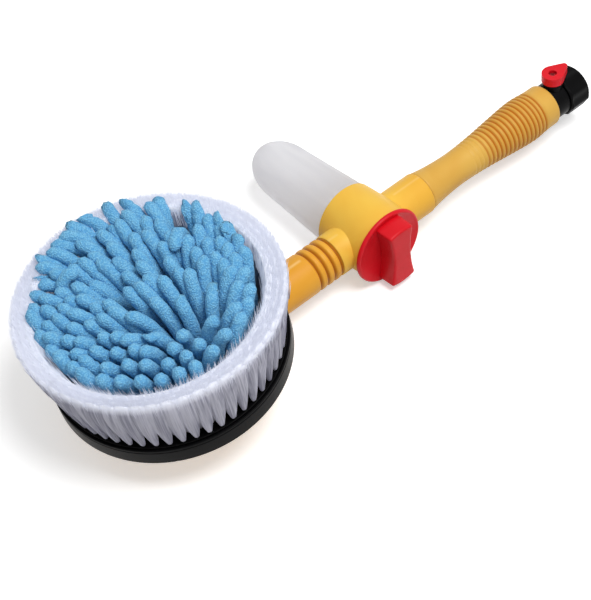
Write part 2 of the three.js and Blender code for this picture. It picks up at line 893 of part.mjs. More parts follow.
// Mixing spool: turns in the body with the knob, and lets the water through its cross bore
const frontSealLow = spoolFront - spoolSealPlace;
const backSealLow = -spoolBack + spoolBackSealPlace - sealWidth;
function mixingSpool() {
  const outline = [
    [0, -spoolBack],
    [spoolRadius, -spoolBack],
    ...sealNotch(spoolRadius, backSealLow),
    ...sealNotch(spoolRadius, frontSealLow),
    [spoolRadius, spoolFront],
    [0, spoolFront],
  ];
  const stem = block(stemSquare, stemSquare, -stemReach, -spoolBack + seatGap);
  return cut(
    join(alongY(turned(outline)), alongY(stem)),
    alongX(rod(spoolWaterRadius, -spoolRadius - cutOver, spoolRadius + cutOver)),
    alongY(rod(soapRadius, 0, spoolFront + cutOver, fewSides)),
  );
}
piece(handle, "mixing_spool", "white", mixingSpool());
piece(handle, "spool_front_seal", "rubber", alongY(seal(spoolRadius, frontSealLow)));
piece(handle, "spool_back_seal", "rubber", alongY(seal(spoolRadius, backSealLow)));
const retainerHigh = -spoolBack - seatGap;
const retainerBore = (stemSquare / 2) * Math.SQRT2 + runGap;
piece(
  handle,
  "spool_retainer",
  "white",
  alongY(ring(retainerBore, retainerRadius, retainerHigh - retainerThickness, retainerHigh)),
);

// Knob: a bevelled flange over the end of the body, and a waisted bar to grip
function mixingKnob() {
  const flange = turned(
    [
      [0, knobFront],
      [knobRadius - knobBevel, knobFront],
      [knobRadius, knobFront + knobBevel],
      [knobRadius, knobFace],
      [0, knobFace],
    ],
    manySides,
  );
  const halfLength = knobBarLength / 2 - knobTopBevel;
  const halfWidth = knobBarWidth / 2 - knobTopBevel;
  const pull = knobBarWaist - knobBarWidth / 2 - knobTopBevel;
  const bar = new THREE.Shape();
  bar.moveTo(-halfWidth, -halfLength);
  bar.lineTo(halfWidth, -halfLength);
  bar.bezierCurveTo(pull, -halfLength / 3, pull, halfLength / 3, halfWidth, halfLength);
  bar.lineTo(-halfWidth, halfLength);
  bar.bezierCurveTo(-pull, halfLength / 3, -pull, -halfLength / 3, -halfWidth, -halfLength);
  const barForm = new THREE.ExtrudeGeometry(bar, {
    depth: knobBarHeight - knobTopBevel,
    bevelSize: knobTopBevel,
    bevelThickness: knobTopBevel,
    bevelSegments: 1,
    curveSegments: 8,
  });
  barForm.rotateX(Math.PI / 2).translate(0, knobFront, 0);
  const socket = stemSquare + 2 * seatGap;
  return cut(
    join(alongY(flange), barForm),
    alongY(block(socket, socket, -stemReach - seatGap, knobFace + cutOver)),
  );
}
piece(handle, "mixing_knob", "red", mixingKnob());

// Soap bottle: an open neck in the body's socket, a slight taper and a long dome
function soapBottle() {
  const domeStart = bottleStart + bottleStraight;
  const domeSteps = 5;
  const dome = (radius, length) =>
    Array.from({ length: domeSteps + 1 }, (_, index) => {
      const angle = (Math.PI / 2) * (index / domeSteps);
      const across = index === domeSteps ? 0 : radius * Math.cos(angle);
      return [across, domeStart + length * Math.sin(angle)];
    });
  const outline = [
    [bottleThreadRadius - bottleWall, bottleNeckEnd],
    [bottleThreadRadius, bottleNeckEnd],
    [bottleThreadRadius, bottleStart],
    [bottleRadius - bottleShoulder, bottleStart],
    [bottleRadius, bottleStart + bottleShoulder],
    ...dome(bottleTaperRadius, bottleDome),
  ];
  const inside = [
    [0, bottleNeckEnd - cutOver],
    [bottleThreadRadius - bottleWall, bottleNeckEnd - cutOver],
    [bottleThreadRadius - bottleWall, bottleStart + bottleShoulder],
    [bottleRadius - bottleWall, bottleStart + 2 * bottleShoulder],
    ...dome(bottleTaperRadius - bottleWall, bottleDome - bottleWall),
  ];
  outline[0] = [0, bottleNeckEnd];
  return cut(solid(alongY(turned(outline, manySides))), alongY(turned(inside, manySides)));
}
piece(handle, "soap_bottle", "clear", soapBottle());
const sealLow = bottleSocketFloor + seatGap;
piece(
  handle,
  "bottle_seal",
  "rubber",
  alongY(
    ring(
      bottleThreadRadius - bottleSealWidth,
      bottleThreadRadius,
      sealLow,
      sealLow + bottleSealThickness,
    ),
  ),
);
piece(
  handle,
  "dip_tube",
  "clear",
  alongY(ring(soapRadius, dipTubeRadius, spoolFront + 2 * seatGap, spoolFront + dipTubeLength, fewSides)),
);

// Grip: a spigot in the body's stub, a waist, a grooved belly and a plain end
const gripCurve = new THREE.SplineCurve(
  gripOutlineShares.map(
    ([along, swell]) =>
      new THREE.Vector2(
        gripStart + along * gripLength,
        gripWaistRadius + swell * (gripBellyRadius - gripWaistRadius),
      ),
  ),
).getPoints(120);
function gripRadiusAt(x) {
  const index = Math.max(1, gripCurve.findIndex((point) => point.x >= x));
  const [low, high] = [gripCurve[index - 1], gripCurve[index]];
  return THREE.MathUtils.mapLinear(x, low.x, high.x, low.y, high.y);
}
const gripSealLow = gripStart - spigotLength + sealPlace;
function handleGrip() {
  const pitch = ((gripGrooveTo - gripGrooveFrom) * gripLength) / (gripGrooveCount - 1);
  const grooves = Array.from({ length: gripGrooveCount }, (_, index) => {
    const middle = gripStart + gripGrooveFrom * gripLength + index * pitch;
    const [low, high] = [middle - gripGrooveWidth / 2, middle + gripGrooveWidth / 2];
    return [
      [gripRadiusAt(low), low],
      [gripRadiusAt(high) - gripGrooveDepth, high],
    ];
  }).flat();
  const plainShares = [0, 0.06, 0.13, 0.2, 0.268, 0.3, 0.93];
  const plain = plainShares.map((share) => {
    const x = gripStart + share * gripLength;
    return [gripRadiusAt(x), x];
  });
  const outside = [...plain, ...grooves].sort((a, b) => a[1] - b[1]);
  const outline = [
    [waterRadius, gripStart - spigotLength],
    [spigotRadius, gripStart - spigotLength],
    ...sealNotch(spigotRadius, gripSealLow),
    [spigotRadius, gripStart],
    ...outside,
    [gripCurve.at(-1).y, gripEnd],
    [valveSpigotRadius + seatGap, gripEnd],
    [valveSpigotRadius + seatGap, gripEnd - valveSpigotLength],
    [waterRadius, gripEnd - valveSpigotLength],
  ];
  return alongX(turned(outline));
}
piece(handle, "handle_grip", "yellow", handleGrip());
piece(handle, "grip_seal", "rubber", alongX(seal(spigotRadius, gripSealLow)));

// Ball valve: a body screwed into the grip, a ball between two seats, a stem and a lever
const seatSpan = (ballRadius ** 2 - (ballBoreRadius + seatGap) ** 2) ** 0.5;
const seatLow = valveAxis - seatSpan - seatThickness;
function valveBody() {
  const outline = [
    [waterRadius, valveStart - valveSpigotLength],
    [valveSpigotRadius, valveStart - valveSpigotLength],
    [valveSpigotRadius, valveStart],
    [valveRadius, valveStart],
    [valveRadius, nutStart - seatGap],
    [valveThreadRadius, nutStart - seatGap],
    [valveThreadRadius, valveEnd],
    [valveBoreRadius, valveEnd],
    [valveBoreRadius, seatLow - seatGap],
    [waterRadius, seatLow - seatGap],
  ];
  const bossWidth = 2 * valveBossRadius + cutOver;
  const bossSide = block(bossWidth, bossWidth, -cutOver, valveBossTop + cutOver);
  const boss = cut(
    solid(rod(valveBossRadius, 0, valveBossTop).translate(valveAxis, 0, 0)),
    bossSide.clone().translate(valveStart - bossWidth / 2, 0, 0),
    bossSide.translate(nutStart - seatGap + bossWidth / 2, 0, 0),
  );
  return cut(
    boss.add(solid(alongX(turned(outline)))),
    alongX(rod(valveBoreRadius, seatLow - seatGap, valveEnd + cutOver)),
    rod(stemRadius + seatGap, 0, valveBossTop + cutOver).translate(valveAxis, 0, 0),
  );
}
piece(handle, "valve_body", "black", valveBody());
function valveSeat(name, direction) {
  const outline = [
    [ballBoreRadius + seatGap, -seatSpan - seatThickness],
    [valveBoreRadius - seatGap, -seatSpan - seatThickness],
    [valveBoreRadius - seatGap, -seatSpan + seatThickness / 2],
    [ballBoreRadius + seatGap, -seatSpan - seatGap],
  ];
  const geometry = alongX(turned(outline)).scale(direction, 1, 1).translate(valveAxis, 0, 0);
  piece(handle, name, "white", geometry);
}
valveSeat("valve_seat_front", 1);
valveSeat("valve_seat_rear", -1);

const valve = new THREE.Group();
valve.position.x = valveAxis;
handle.add(valve);
piece(
  valve,
  "valve_ball",
  "steel",
  cut(
    solid(new THREE.SphereGeometry(ballRadius, someSides, fewSides)),
    alongX(rod(ballBoreRadius, -ballRadius - cutOver, ballRadius + cutOver, fewSides)),
    block(2 * ballRadius, tangWidth + 2 * seatGap, ballRadius - tangDepth, ballRadius + cutOver),
  ),
);
const stemSide = stemRadius * stemSquareShare;
const stemTop = leverWeb - stemFlange;
const stemSealLow = valveBoreRadius + stemFlange;
function valveStem() {
  const outline = [
    [0, valveBoreRadius + seatGap],
    [stemRadius, valveBoreRadius + seatGap],
    ...sealNotch(stemRadius, stemSealLow),
    [stemRadius, leverUnder - seatGap],
    [0, leverUnder - seatGap],
  ];
  const tangLow = ballRadius - tangDepth + seatGap;
  const tang = block(2 * stemRadius - 4 * seatGap, tangWidth, tangLow, valveBoreRadius + cutOver);
  const square = block(stemSide, stemSide, leverUnder - cutOver, stemTop);
  return cut(
    join(turned(outline), tang, square),
    rod(leverScrewRadius + seatGap, stemTop - leverScrewLength, stemTop + cutOver, fewSides),
  );
}
piece(valve, "valve_stem", "black", valveStem());
piece(valve, "stem_seal", "rubber", seal(stemRadius, stemSealLow));

// Lever: a drop-shaped plate, its wide end round the stem and its tip towards the hose
function valveLever() {
  const tangent = Math.acos((leverRadius - leverTipRadius) / leverReach);
  const outline = new THREE.Shape();
  outline.absarc(0, 0, leverRadius, tangent, fullTurn - tangent, false);
  outline.absarc(leverReach, 0, leverTipRadius, -tangent, tangent, false);
  const socket = stemSide + 2 * seatGap;
  return cut(
    solid(slice(outline, leverUnder, leverTop)),
    block(socket, socket, leverUnder - cutOver, stemTop + seatGap),
    rod(leverScrewRadius + seatGap, leverUnder, leverTop, fewSides),
    rod(leverRecessRadius, leverWeb, leverTop + cutOver, fewSides),
  );
}
piece(valve, "valve_lever", "red", valveLever());
const leverScrewForm = screw(
  leverScrewRadius,
  leverScrewLength - 2 * seatGap,
  leverRecessRadius - runGap,
  leverScrewHeadHeight,
);
const leverScrew = piece(valve, "lever_screw", "steel", leverScrewForm);
leverScrew.rotation.x = Math.PI;
leverScrew.position.z = leverWeb + seatGap;

// Hose tail: a barbed spout whose flange seats in the valve, with a washer over the flange
const tailLow = 2 * valveAxis - seatLow + seatGap;
function hoseTail() {
  const spout = tailLow + tailFlange;
  const barbs = Array.from({ length: tailBarbCount }, (_, index) => {
    const high = valveEnd + tailReach - index * tailBarbPitch;
    return [
      [tailRadius, high],
      [tailRadius + tailBarb, high - tailBarbPitch / 2],
      [tailRadius, high - tailBarbPitch / 2],
    ];
  }).reverse();
  const outline = [
    [tailBoreRadius, tailLow],
    [tailFlangeRadius, tailLow],
    [tailFlangeRadius, spout],
    [tailRadius, spout],
    ...barbs.flatMap((barb) => barb.reverse()),
    [tailBoreRadius, valveEnd + tailReach],
  ];
  return alongX(turned(outline, fewSides));
}
piece(handle, "hose_tail", "black", hoseTail());
const hoseWasherLow = tailLow + tailFlange + seatGap;
piece(
  handle,
  "hose_washer",
  "rubber",
  alongX(ring(tailRadius + seatGap, tailFlangeRadius, hoseWasherLow, hoseWasherLow + hoseWasherThickness)),
);

// Hose nut: ribbed outside, screwed over the valve's thread, with an open mouth for the hose
function hoseNut() {
  const sides = nutRibCount * 4;
  const outline = Array.from({ length: sides }, (_, index) => {
    const angle = (fullTurn * index) / sides;
    const radius = nutRadius - nutChamfer - nutRibDepth * (0.5 - 0.5 * Math.cos(nutRibCount * angle));
    return around(radius, angle);
  });
  const form = new THREE.ExtrudeGeometry(shapeOf(outline), {
    depth: nutLength - 2 * nutChamfer,
    bevelSize: nutChamfer,
    bevelThickness: nutChamfer,
    bevelSegments: 1,
  });
  form.translate(0, 0, nutStart + nutChamfer);
  return cut(
    solid(alongX(form)),
    alongX(rod(valveThreadRadius + seatGap, nutStart - cutOver, nutEnd - nutMouthDepth)),
    alongX(rod(nutMouthRadius, nutStart, nutEnd + cutOver)),
  );
}
piece(handle, "hose_nut", "black", hoseNut());

export default brush;
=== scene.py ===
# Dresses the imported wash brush: moulded handle, soap bottle, bristle ring and chenille pad.
# Sizes are in millimetres in the frame of the handle or of the tilted head, unless a note says so.
import json
from math import acos, cos, pi, radians, sin, sqrt

import bmesh
import bpy
import numpy as np
from mathutils import Matrix, Vector, noise


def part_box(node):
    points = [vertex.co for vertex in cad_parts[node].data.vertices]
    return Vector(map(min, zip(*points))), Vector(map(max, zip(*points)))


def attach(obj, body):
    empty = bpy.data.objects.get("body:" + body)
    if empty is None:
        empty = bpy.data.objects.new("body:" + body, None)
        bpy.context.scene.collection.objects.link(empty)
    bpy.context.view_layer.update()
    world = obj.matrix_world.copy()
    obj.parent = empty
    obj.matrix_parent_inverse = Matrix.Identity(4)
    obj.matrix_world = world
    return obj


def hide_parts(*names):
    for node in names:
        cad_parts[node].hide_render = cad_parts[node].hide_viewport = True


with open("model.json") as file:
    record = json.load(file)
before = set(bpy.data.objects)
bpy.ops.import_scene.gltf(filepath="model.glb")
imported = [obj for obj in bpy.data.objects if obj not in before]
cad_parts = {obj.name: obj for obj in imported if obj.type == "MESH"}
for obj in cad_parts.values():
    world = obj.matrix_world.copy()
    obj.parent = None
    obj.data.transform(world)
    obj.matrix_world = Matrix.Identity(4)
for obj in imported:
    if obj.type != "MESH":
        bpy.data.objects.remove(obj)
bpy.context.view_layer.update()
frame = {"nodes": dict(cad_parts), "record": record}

frames = {
    "handleX": 156.7988,  # from the origin to the middle of the mixing body
    "handleZ": 26.8,
    "headReach": 161.6,  # from the mixing body to the head
    "headRise": 7.8,
    "headTilt": 7.9,  # degrees
    "millimetre": 0.001,
}

handlePlace = Matrix.Scale(frames["millimetre"], 4) @ Matrix.Translation(
    (frames["handleX"], 0, frames["handleZ"])
)
headPlace = (
    handlePlace
    @ Matrix.Translation((-frames["headReach"], 0, frames["headRise"]))
    @ Matrix.Rotation(-radians(frames["headTilt"]), 4, "Y")
)
alongHandle = handlePlace @ Matrix.Rotation(pi / 2, 4, "Y")
alongBottle = handlePlace @ Matrix.Rotation(-pi / 2, 4, "X")


# Materials


def linearColor(code):
    channels = [int(code[i : i + 2], 16) / 255 for i in (0, 2, 4)]
    return [c / 12.92 if c <= 0.04045 else ((c + 0.055) / 1.055) ** 2.4 for c in channels] + [1]


def addNode(material, kind, links, settings=None, out=0):
    # Links or sets the inputs, by name or in their order, and gives back one of the outputs.
    tree = material.node_tree
    made = tree.nodes.new("ShaderNode" + kind)
    for name, value in (settings or {}).items():
        setattr(made, name, value)
    for name, value in (links if isinstance(links, dict) else dict(enumerate(links))).items():
        if isinstance(value, bpy.types.NodeSocket):
            tree.links.new(value, made.inputs[name])
        else:
            made.inputs[name].default_value = value
    return made.outputs[out] if made.outputs else None


# A mix of colours has its factor at input 0, its colours at 6 and 7 and its result at output 2.
ofColors = {"data_type": "RGBA"}


def perMetre(sizeMm):
    return 1000 / sizeMm  # texture scale that gives a pattern this size in millimetres


def newMaterial(name):
    material = bpy.data.materials.new(name)
    material.use_nodes = True
    material.node_tree.nodes.clear()
    return material


def litThrough(material, shader, color, share):
    # Thin milky walls and filaments pass part of the light that falls on their other side.
    through = addNode(material, "BsdfTranslucent", {"Color": color})
    return addNode(material, "MixShader", (share, shader, through))


def paintedSeamHighlight(material, place, look):
    # A painted highlight: a lighter line along the top and bottom of the handle, where the two mould
    # halves meet.
    aside = addNode(material, "SeparateXYZ", (place,), out="Y")
    away = addNode(material, "Math", (aside,), {"operation": "ABSOLUTE"})
    width = look["seamHighlightMm"] * frames["millimetre"]
    line = addNode(material, "MapRange", (away, width * look["seamHighlightCore"], width, 1, 0))
    along = addNode(material, "SeparateXYZ", (place,), out="X")
    bodyMiddle = frames["handleX"] * frames["millimetre"]
    fromBody = addNode(material, "Math", (along, bodyMiddle), {"operation": "SUBTRACT"})
    outside = addNode(material, "Math", (fromBody,), {"operation": "ABSOLUTE"})
    start = look["seamHighlightFrom"] * frames["millimetre"]
    full = start + look["seamHighlightFade"] * frames["millimetre"]
    clear = addNode(material, "MapRange", (outside, start, full, 0, look["seamHighlightShow"]))
    return addNode(material, "Math", (line, clear), {"operation": "MULTIPLY"})


# Injection-moulded plastics: an even satin skin over faint flow marks and a fine eroded texture,
# some with painted shade in their grooves and a painted highlight along the mould seam
def mouldedPlastic(name, look):
    material = newMaterial(name)
    place = addNode(material, "TexCoord", (), out="Object")
    flow = addNode(
        material, "TexNoise",
        {"Vector": place, "Scale": perMetre(look["flowMm"]), "Detail": 3, "Distortion": 0.6},
    )
    skin = addNode(
        material, "TexNoise", {"Vector": place, "Scale": perMetre(look["skinMm"]), "Detail": 2}
    )
    spread = addNode(material, "MapRange", (flow, 0.35, 0.65, 0, 1))
    deep, pale = linearColor(look["deep"]), linearColor(look["pale"])
    color = addNode(material, "Mix", {0: spread, 6: deep, 7: pale}, ofColors, 2)
    # Painted shade: grooves drawn darker and more orange, the deeper a point lies in one.
    if "paintedGrooveShade" in look:
        depth = addNode(material, "Attribute", (), {"attribute_name": "groove"}, "Fac")
        groove = linearColor(look["paintedGrooveShade"])
        color = addNode(material, "Mix", {0: depth, 6: color, 7: groove}, ofColors, 2)
    # Painted highlight: a lighter line along the mould seam.
    if "seamHighlightMm" in look:
        seamHighlight = paintedSeamHighlight(material, place, look)
        seamHighlightColor = linearColor(look["seamHighlightColor"])
        color = addNode(material, "Mix", {0: seamHighlight, 6: color, 7: seamHighlightColor}, ofColors, 2)
    least, most = look["roughness"] - 0.04, look["roughness"] + 0.05
    rough = addNode(material, "MapRange", (skin, 0.3, 0.7, least, most))
    bump = addNode(
        material, "Bump", {"Height": skin, "Strength": look["texture"], "Distance": 0.0001}
    )
    shader = addNode(
        material, "BsdfPrincipled",
        {
            "Base Color": color, "Roughness": rough, "Normal": bump, "IOR": 1.49,
            "Specular IOR Level": look["gloss"],
        },
    )
    addNode(material, "OutputMaterial", (shader,))
    return material


yellowPolypropylene = mouldedPlastic(
    "yellow polypropylene, injection moulded",
    {
        "pale": "EDBE4A", "deep": "E8B03E", "flowMm": 38,
        "skinMm": 0.9,  # eroded mould texture, drawn coarser than real so that it shows
        # The seam keys paint a lighter highlight line along the mould seam.
        "texture": 0.25, "roughness": 0.42, "gloss": 0.2, "seamHighlightMm": 1.4,
        "seamHighlightCore": 0.1,  # share of its width where the painted highlight shows in full
        "seamHighlightColor": "F7DDA0", "seamHighlightShow": 0.2,
        "seamHighlightFrom": 24,  # from the middle of the mixing body
        "seamHighlightFade": 1.5,
    },
)
gripPolypropylene = mouldedPlastic(
    "yellow polypropylene grip, injection moulded",
    {
        "pale": "DBAD50", "deep": "D5A245",
        "paintedGrooveShade": "B9690C",  # painted shade: the narrow grooves are drawn darker and more orange
        "flowMm": 30, "skinMm": 0.9, "texture": 0.25, "roughness": 0.45, "gloss": 0.22,
    },
)
amberPolypropylene = mouldedPlastic(
    "amber polypropylene, injection moulded",
    {
        # The groove colour is painted shade in the neck's grooves.
        "pale": "E8A93A", "deep": "E29D2E", "paintedGrooveShade": "A8600C", "flowMm": 34, "skinMm": 0.9,
        # The seam keys paint a lighter highlight line along the mould seam.
        "texture": 0.25, "roughness": 0.4, "gloss": 0.22, "seamHighlightMm": 1.6, "seamHighlightCore": 0.1,
        "seamHighlightColor": "FBE0A0", "seamHighlightShow": 0.4, "seamHighlightFrom": 56, "seamHighlightFade": 1.5,
    },
)
redAbs = mouldedPlastic(
    "red ABS, injection moulded",
    {
        "pale": "DC1626", "deep": "D00E1C", "flowMm": 20, "skinMm": 0.8, "texture": 0.2,
        "roughness": 0.4, "gloss": 0.2,
    },
)
blackAbs = mouldedPlastic(
    "black ABS, injection moulded",
    {
        "pale": "0C0C0D", "deep": "080809", "flowMm": 26, "skinMm": 0.9, "texture": 0.35,
        "roughness": 0.33, "gloss": 0.05,
    },
)
whiteAcetal = mouldedPlastic(
    "white acetal, injection moulded",
    {
        "pale": "EEEEEC", "deep": "E2E2E0", "flowMm": 15, "skinMm": 0.7, "texture": 0.15,
        "roughness": 0.35, "gloss": 0.5,
    },
)
nitrileRubber = mouldedPlastic(
    "black nitrile rubber, compression moulded",
    {
        "pale": "1E1E1E", "deep": "161616", "flowMm": 8, "skinMm": 0.5, "texture": 0.5,
        "roughness": 0.7, "gloss": 0.25,
    },
)
# The lever screw's head is coloured dark red, as dark as the lever's recess looks.
darkRedScrewHead = mouldedPlastic(
    "dark red on the lever screw's head",
    {
        "pale": "A01018", "deep": "7C0A10", "flowMm": 3, "skinMm": 0.4, "texture": 0.4,
        "roughness": 0.35, "gloss": 0.5,
    },
)


# Zinc-plated steel: turned, then plated, so it has a fine grain and cloudy reflections
def platedSteel():
    look = {"pale": "C9CCD0", "deep": "A9ADB2", "cloudMm": 2.5, "grainMm": 0.25, "roughness": 0.28}
    material = newMaterial("zinc-plated steel, turned")
    place = addNode(material, "TexCoord", (), out="Object")
    cloud = addNode(material, "TexNoise", {"Vector": place, "Scale": perMetre(look["cloudMm"])})
    grain = addNode(material, "TexNoise", {"Vector": place, "Scale": perMetre(look["grainMm"])})
    deep, pale = linearColor(look["deep"]), linearColor(look["pale"])
    color = addNode(material, "Mix", {0: cloud, 6: deep, 7: pale}, ofColors, 2)
    most = look["roughness"] + 0.15
    rough = addNode(material, "MapRange", (cloud, 0.3, 0.7, look["roughness"], most))
    bump = addNode(material, "Bump", {"Height": grain, "Strength": 0.2, "Distance": 0.0001})
    shader = addNode(
        material, "BsdfPrincipled",
        {"Base Color": color, "Metallic": 1, "Roughness": rough, "Normal": bump},
    )
    addNode(material, "OutputMaterial", (shader,))
    return material


zincSteel = platedSteel()


# Natural polyethylene, blow moulded: milky, with faint streaks along the bottle
def milkyPolyethylene():
    look = {
        "pale": "F7F7F8", "deep": "F1F1F3", "through": 0.6, "streakMm": 7, "streakStretch": 0.12,
        "skinMm": 1.2, "roughness": 0.42,
    }
    material = newMaterial("natural polyethylene, blow moulded")
    place = addNode(material, "TexCoord", (), out="Object")
    stretch = (1, look["streakStretch"], 1)
    drawn = addNode(material, "Mapping", {"Vector": place, "Scale": stretch})
    streak = addNode(
        material, "TexNoise", {"Vector": drawn, "Scale": perMetre(look["streakMm"]), "Detail": 4}
    )
    skin = addNode(material, "TexNoise", {"Vector": place, "Scale": perMetre(look["skinMm"])})
    spread = addNode(material, "MapRange", (streak, 0.35, 0.65, 0, 1))
    deep, pale = linearColor(look["deep"]), linearColor(look["pale"])
    color = addNode(material, "Mix", {0: spread, 6: deep, 7: pale}, ofColors, 2)
    most = look["roughness"] + 0.08
    rough = addNode(material, "MapRange", (streak, 0.3, 0.7, look["roughness"], most))
    bump = addNode(material, "Bump", {"Height": skin, "Strength": 0.12, "Distance": 0.0001})
    shader = addNode(
        material, "BsdfPrincipled",
        {
            "Base Color": color, "Roughness": rough, "Normal": bump, "IOR": 1.51,
            "Transmission Weight": 0.55, "Specular IOR Level": 0.4,
        },
    )
    addNode(material, "OutputMaterial", (litThrough(material, shader, color, look["through"]),))
    return material


naturalPolyethylene = milkyPolyethylene()


# Polypropylene filaments: white ends with a painted glow, and painted shade in darker lanes down the
# sides, where they shade each other
def filaments():
    look = {
        "end": "F3F5FC",
        "paintedGlow": 0.09,  # painted glow: emission on the ends, standing in for light that keeps scattering between them
        # The sides' colours are painted shade, darker than the ends.
        "pale": "DEDEEA", "deep": "A4A4B6", "through": 0.25,
        "laneMm": 0.9,  # a few filaments wide, coarser than the real 0.2 mm so that it shows
        "laneLengthMm": 30, "clumpMm": 4.5,
        "sidesTo": 0.051,  # metres along the UV layer, where the sides' painted shade starts to fade
        "endsFrom": 0.056, "roughness": 0.6,
    }
    material = newMaterial("white polypropylene filaments, extruded")
    along = addNode(material, "UVMap", (), {"uv_map": "strands"})
    stretch = (1, look["laneMm"] / look["laneLengthMm"], 1)
    lanes = addNode(material, "Mapping", {"Vector": along, "Scale": stretch})
    shades = [
        addNode(material, "TexNoise", {"Vector": lanes, "Scale": perMetre(size), "Detail": 2})
        for size in (look["laneMm"], look["clumpMm"])
    ]
    shade = addNode(material, "Math", shades, {"operation": "ADD"})
    spread = addNode(material, "MapRange", (shade, 0.78, 1.15, 0, 1))
    deep, pale, end = (linearColor(look[name]) for name in ("deep", "pale", "end"))
    sides = addNode(material, "Mix", {0: spread, 6: deep, 7: pale}, ofColors, 2)
    # Painted shade on the sides, fading out towards the white ends.
    height = addNode(material, "SeparateXYZ", (along,), out="Y")
    ends = addNode(material, "MapRange", (height, look["sidesTo"], look["endsFrom"], 0, 1))
    color = addNode(material, "Mix", {0: ends, 6: sides, 7: end}, ofColors, 2)
    bump = addNode(material, "Bump", {"Height": shade, "Strength": 0.5, "Distance": 0.0004})
    shader = addNode(
        material, "BsdfPrincipled",
        {
            "Base Color": color, "Roughness": look["roughness"], "Normal": bump, "IOR": 1.49,
            # Painted glow: the ends give off light.
            "Specular IOR Level": 0.2, "Emission Color": end,
            "Emission Strength": addNode(material, "MapRange", (ends, 0, 1, 0, look["paintedGlow"])),
        },
    )
    addNode(material, "OutputMaterial", (litThrough(material, shader, color, look["through"]),))
    return material


whiteFilaments = filaments()


# Microfibre chenille: looped pile, pale on the loop tops with painted shade deep between them and at
# the noodles' roots, and a soft sheen
def chenillePile():
    look = {
        # The deep and inside colours are painted shade.
        "pale": "94D2F0", "middle": "66B4E2", "deep": "3680BC", "inside": "1D4E8E",
        "sheen": "A8DCF4",
        "loopMm": 1.1,  # size of one pile loop
        "tuftMm": 4, "roughness": 0.9,
        "loopGapShade": 0.55,  # painted shade: share of the deep colour between the loops
        "insideShade": 0.75,  # painted shade: share of the inside colour at the noodles' roots
    }
    pale, middle, deep, inside, sheen = (
        linearColor(look[name]) for name in ("pale", "middle", "deep", "inside", "sheen")
    )
    material = newMaterial("blue microfibre chenille, looped pile")
    place = addNode(material, "TexCoord", (), out="Object")
    loops = addNode(
        material, "TexVoronoi",
        {"Vector": place, "Scale": perMetre(look["loopMm"]), "Smoothness": 0.4},
        {"feature": "SMOOTH_F1"},
    )
    tufts = addNode(
        material, "TexNoise", {"Vector": place, "Scale": perMetre(look["tuftMm"]), "Detail": 3}
    )
    # Painted shade: the deep colour between the loops, and the inside colour at the noodles' roots.
    pile = addNode(material, "MapRange", (loops, 0.1, 0.65, 1, 0))
    depth = addNode(material, "Attribute", (), {"attribute_name": "rise"}, "Fac")
    body = addNode(material, "Mix", {0: tufts, 6: middle, 7: pale}, ofColors, 2)
    between = addNode(material, "MapRange", (pile, 0, 0.6, look["loopGapShade"], 0))
    gapShaded = addNode(material, "Mix", {0: between, 6: body, 7: deep}, ofColors, 2)
    low = addNode(material, "MapRange", (depth, 0.1, 0.75, look["insideShade"], 0))
    shaded = addNode(material, "Mix", {0: low, 6: gapShaded, 7: inside}, ofColors, 2)
    bump = addNode(material, "Bump", {"Height": pile, "Strength": 0.8, "Distance": 0.0006})
    shader = addNode(
        material, "BsdfPrincipled",
        {
            "Base Color": shaded, "Roughness": look["roughness"], "Normal": bump,
            "Specular IOR Level": 0.15, "Sheen Weight": 0.35, "Sheen Roughness": 0.5,
            "Sheen Tint": sheen,
        },
    )
    addNode(material, "OutputMaterial", (shader,))
    return material


blueChenille = chenillePile()

slotMaterials = {
    "yellow_plastic": yellowPolypropylene, "amber_plastic": amberPolypropylene,
    "red_plastic": redAbs, "black_plastic": blackAbs, "white_plastic": whiteAcetal,
    "bottle_plastic": naturalPolyethylene, "steel": zincSteel, "seal_rubber": nitrileRubber,
    "bristle": whiteFilaments, "chenille": blueChenille,
}
print("materials made:", len(slotMaterials))


# Shaping


def rounded(outline, steps=5):
    # An outline point [radius, height, fillet] gets its corner rounded.
    made = []
    for index, point in enumerate(outline):
        here = Vector(point[:2])
        if len(point) == 2 or index in (0, len(outline) - 1):
            made.append(here)
            continue
        before = Vector(outline[index - 1][:2]) - here
        after = Vector(outline[index + 1][:2]) - here
        fillet = min(point[2], before.length * 0.49, after.length * 0.49)
        start = here + before.normalized() * fillet
        end = here + after.normalized() * fillet
        for step in range(steps + 1):
            share = step / steps
            first = start.lerp(here, share)
            made.append(first.lerp(here.lerp(end, share), share))
    return made


def smoothed(points, steps=16):
    # A curve through points, the same one that the source draws
    padded = [points[0], *points, points[-1]]
    made = []
    for a, b, c, d in zip(padded, padded[1:], padded[2:], padded[3:]):
        a, b, c, d = map(np.array, (a, b, c, d))
        for share in np.arange(steps) / steps:
            value = 2 * b + (c - a) * share
            value = value + (2 * a - 5 * b + 4 * c - d) * share**2
            value = value + (3 * b - a - 3 * c + d) * share**3
            made.append(tuple(value / 2))
    return [*made, tuple(points[-1])]


def newPiece(name, mesh, place=None):
    if place is not None:
        bmesh.ops.transform(mesh, matrix=place, verts=mesh.verts)
    data = bpy.data.meshes.new(name)
    mesh.to_mesh(data)
    mesh.free()
    made = bpy.data.objects.new(name, data)
    bpy.context.scene.collection.objects.link(made)
    return made


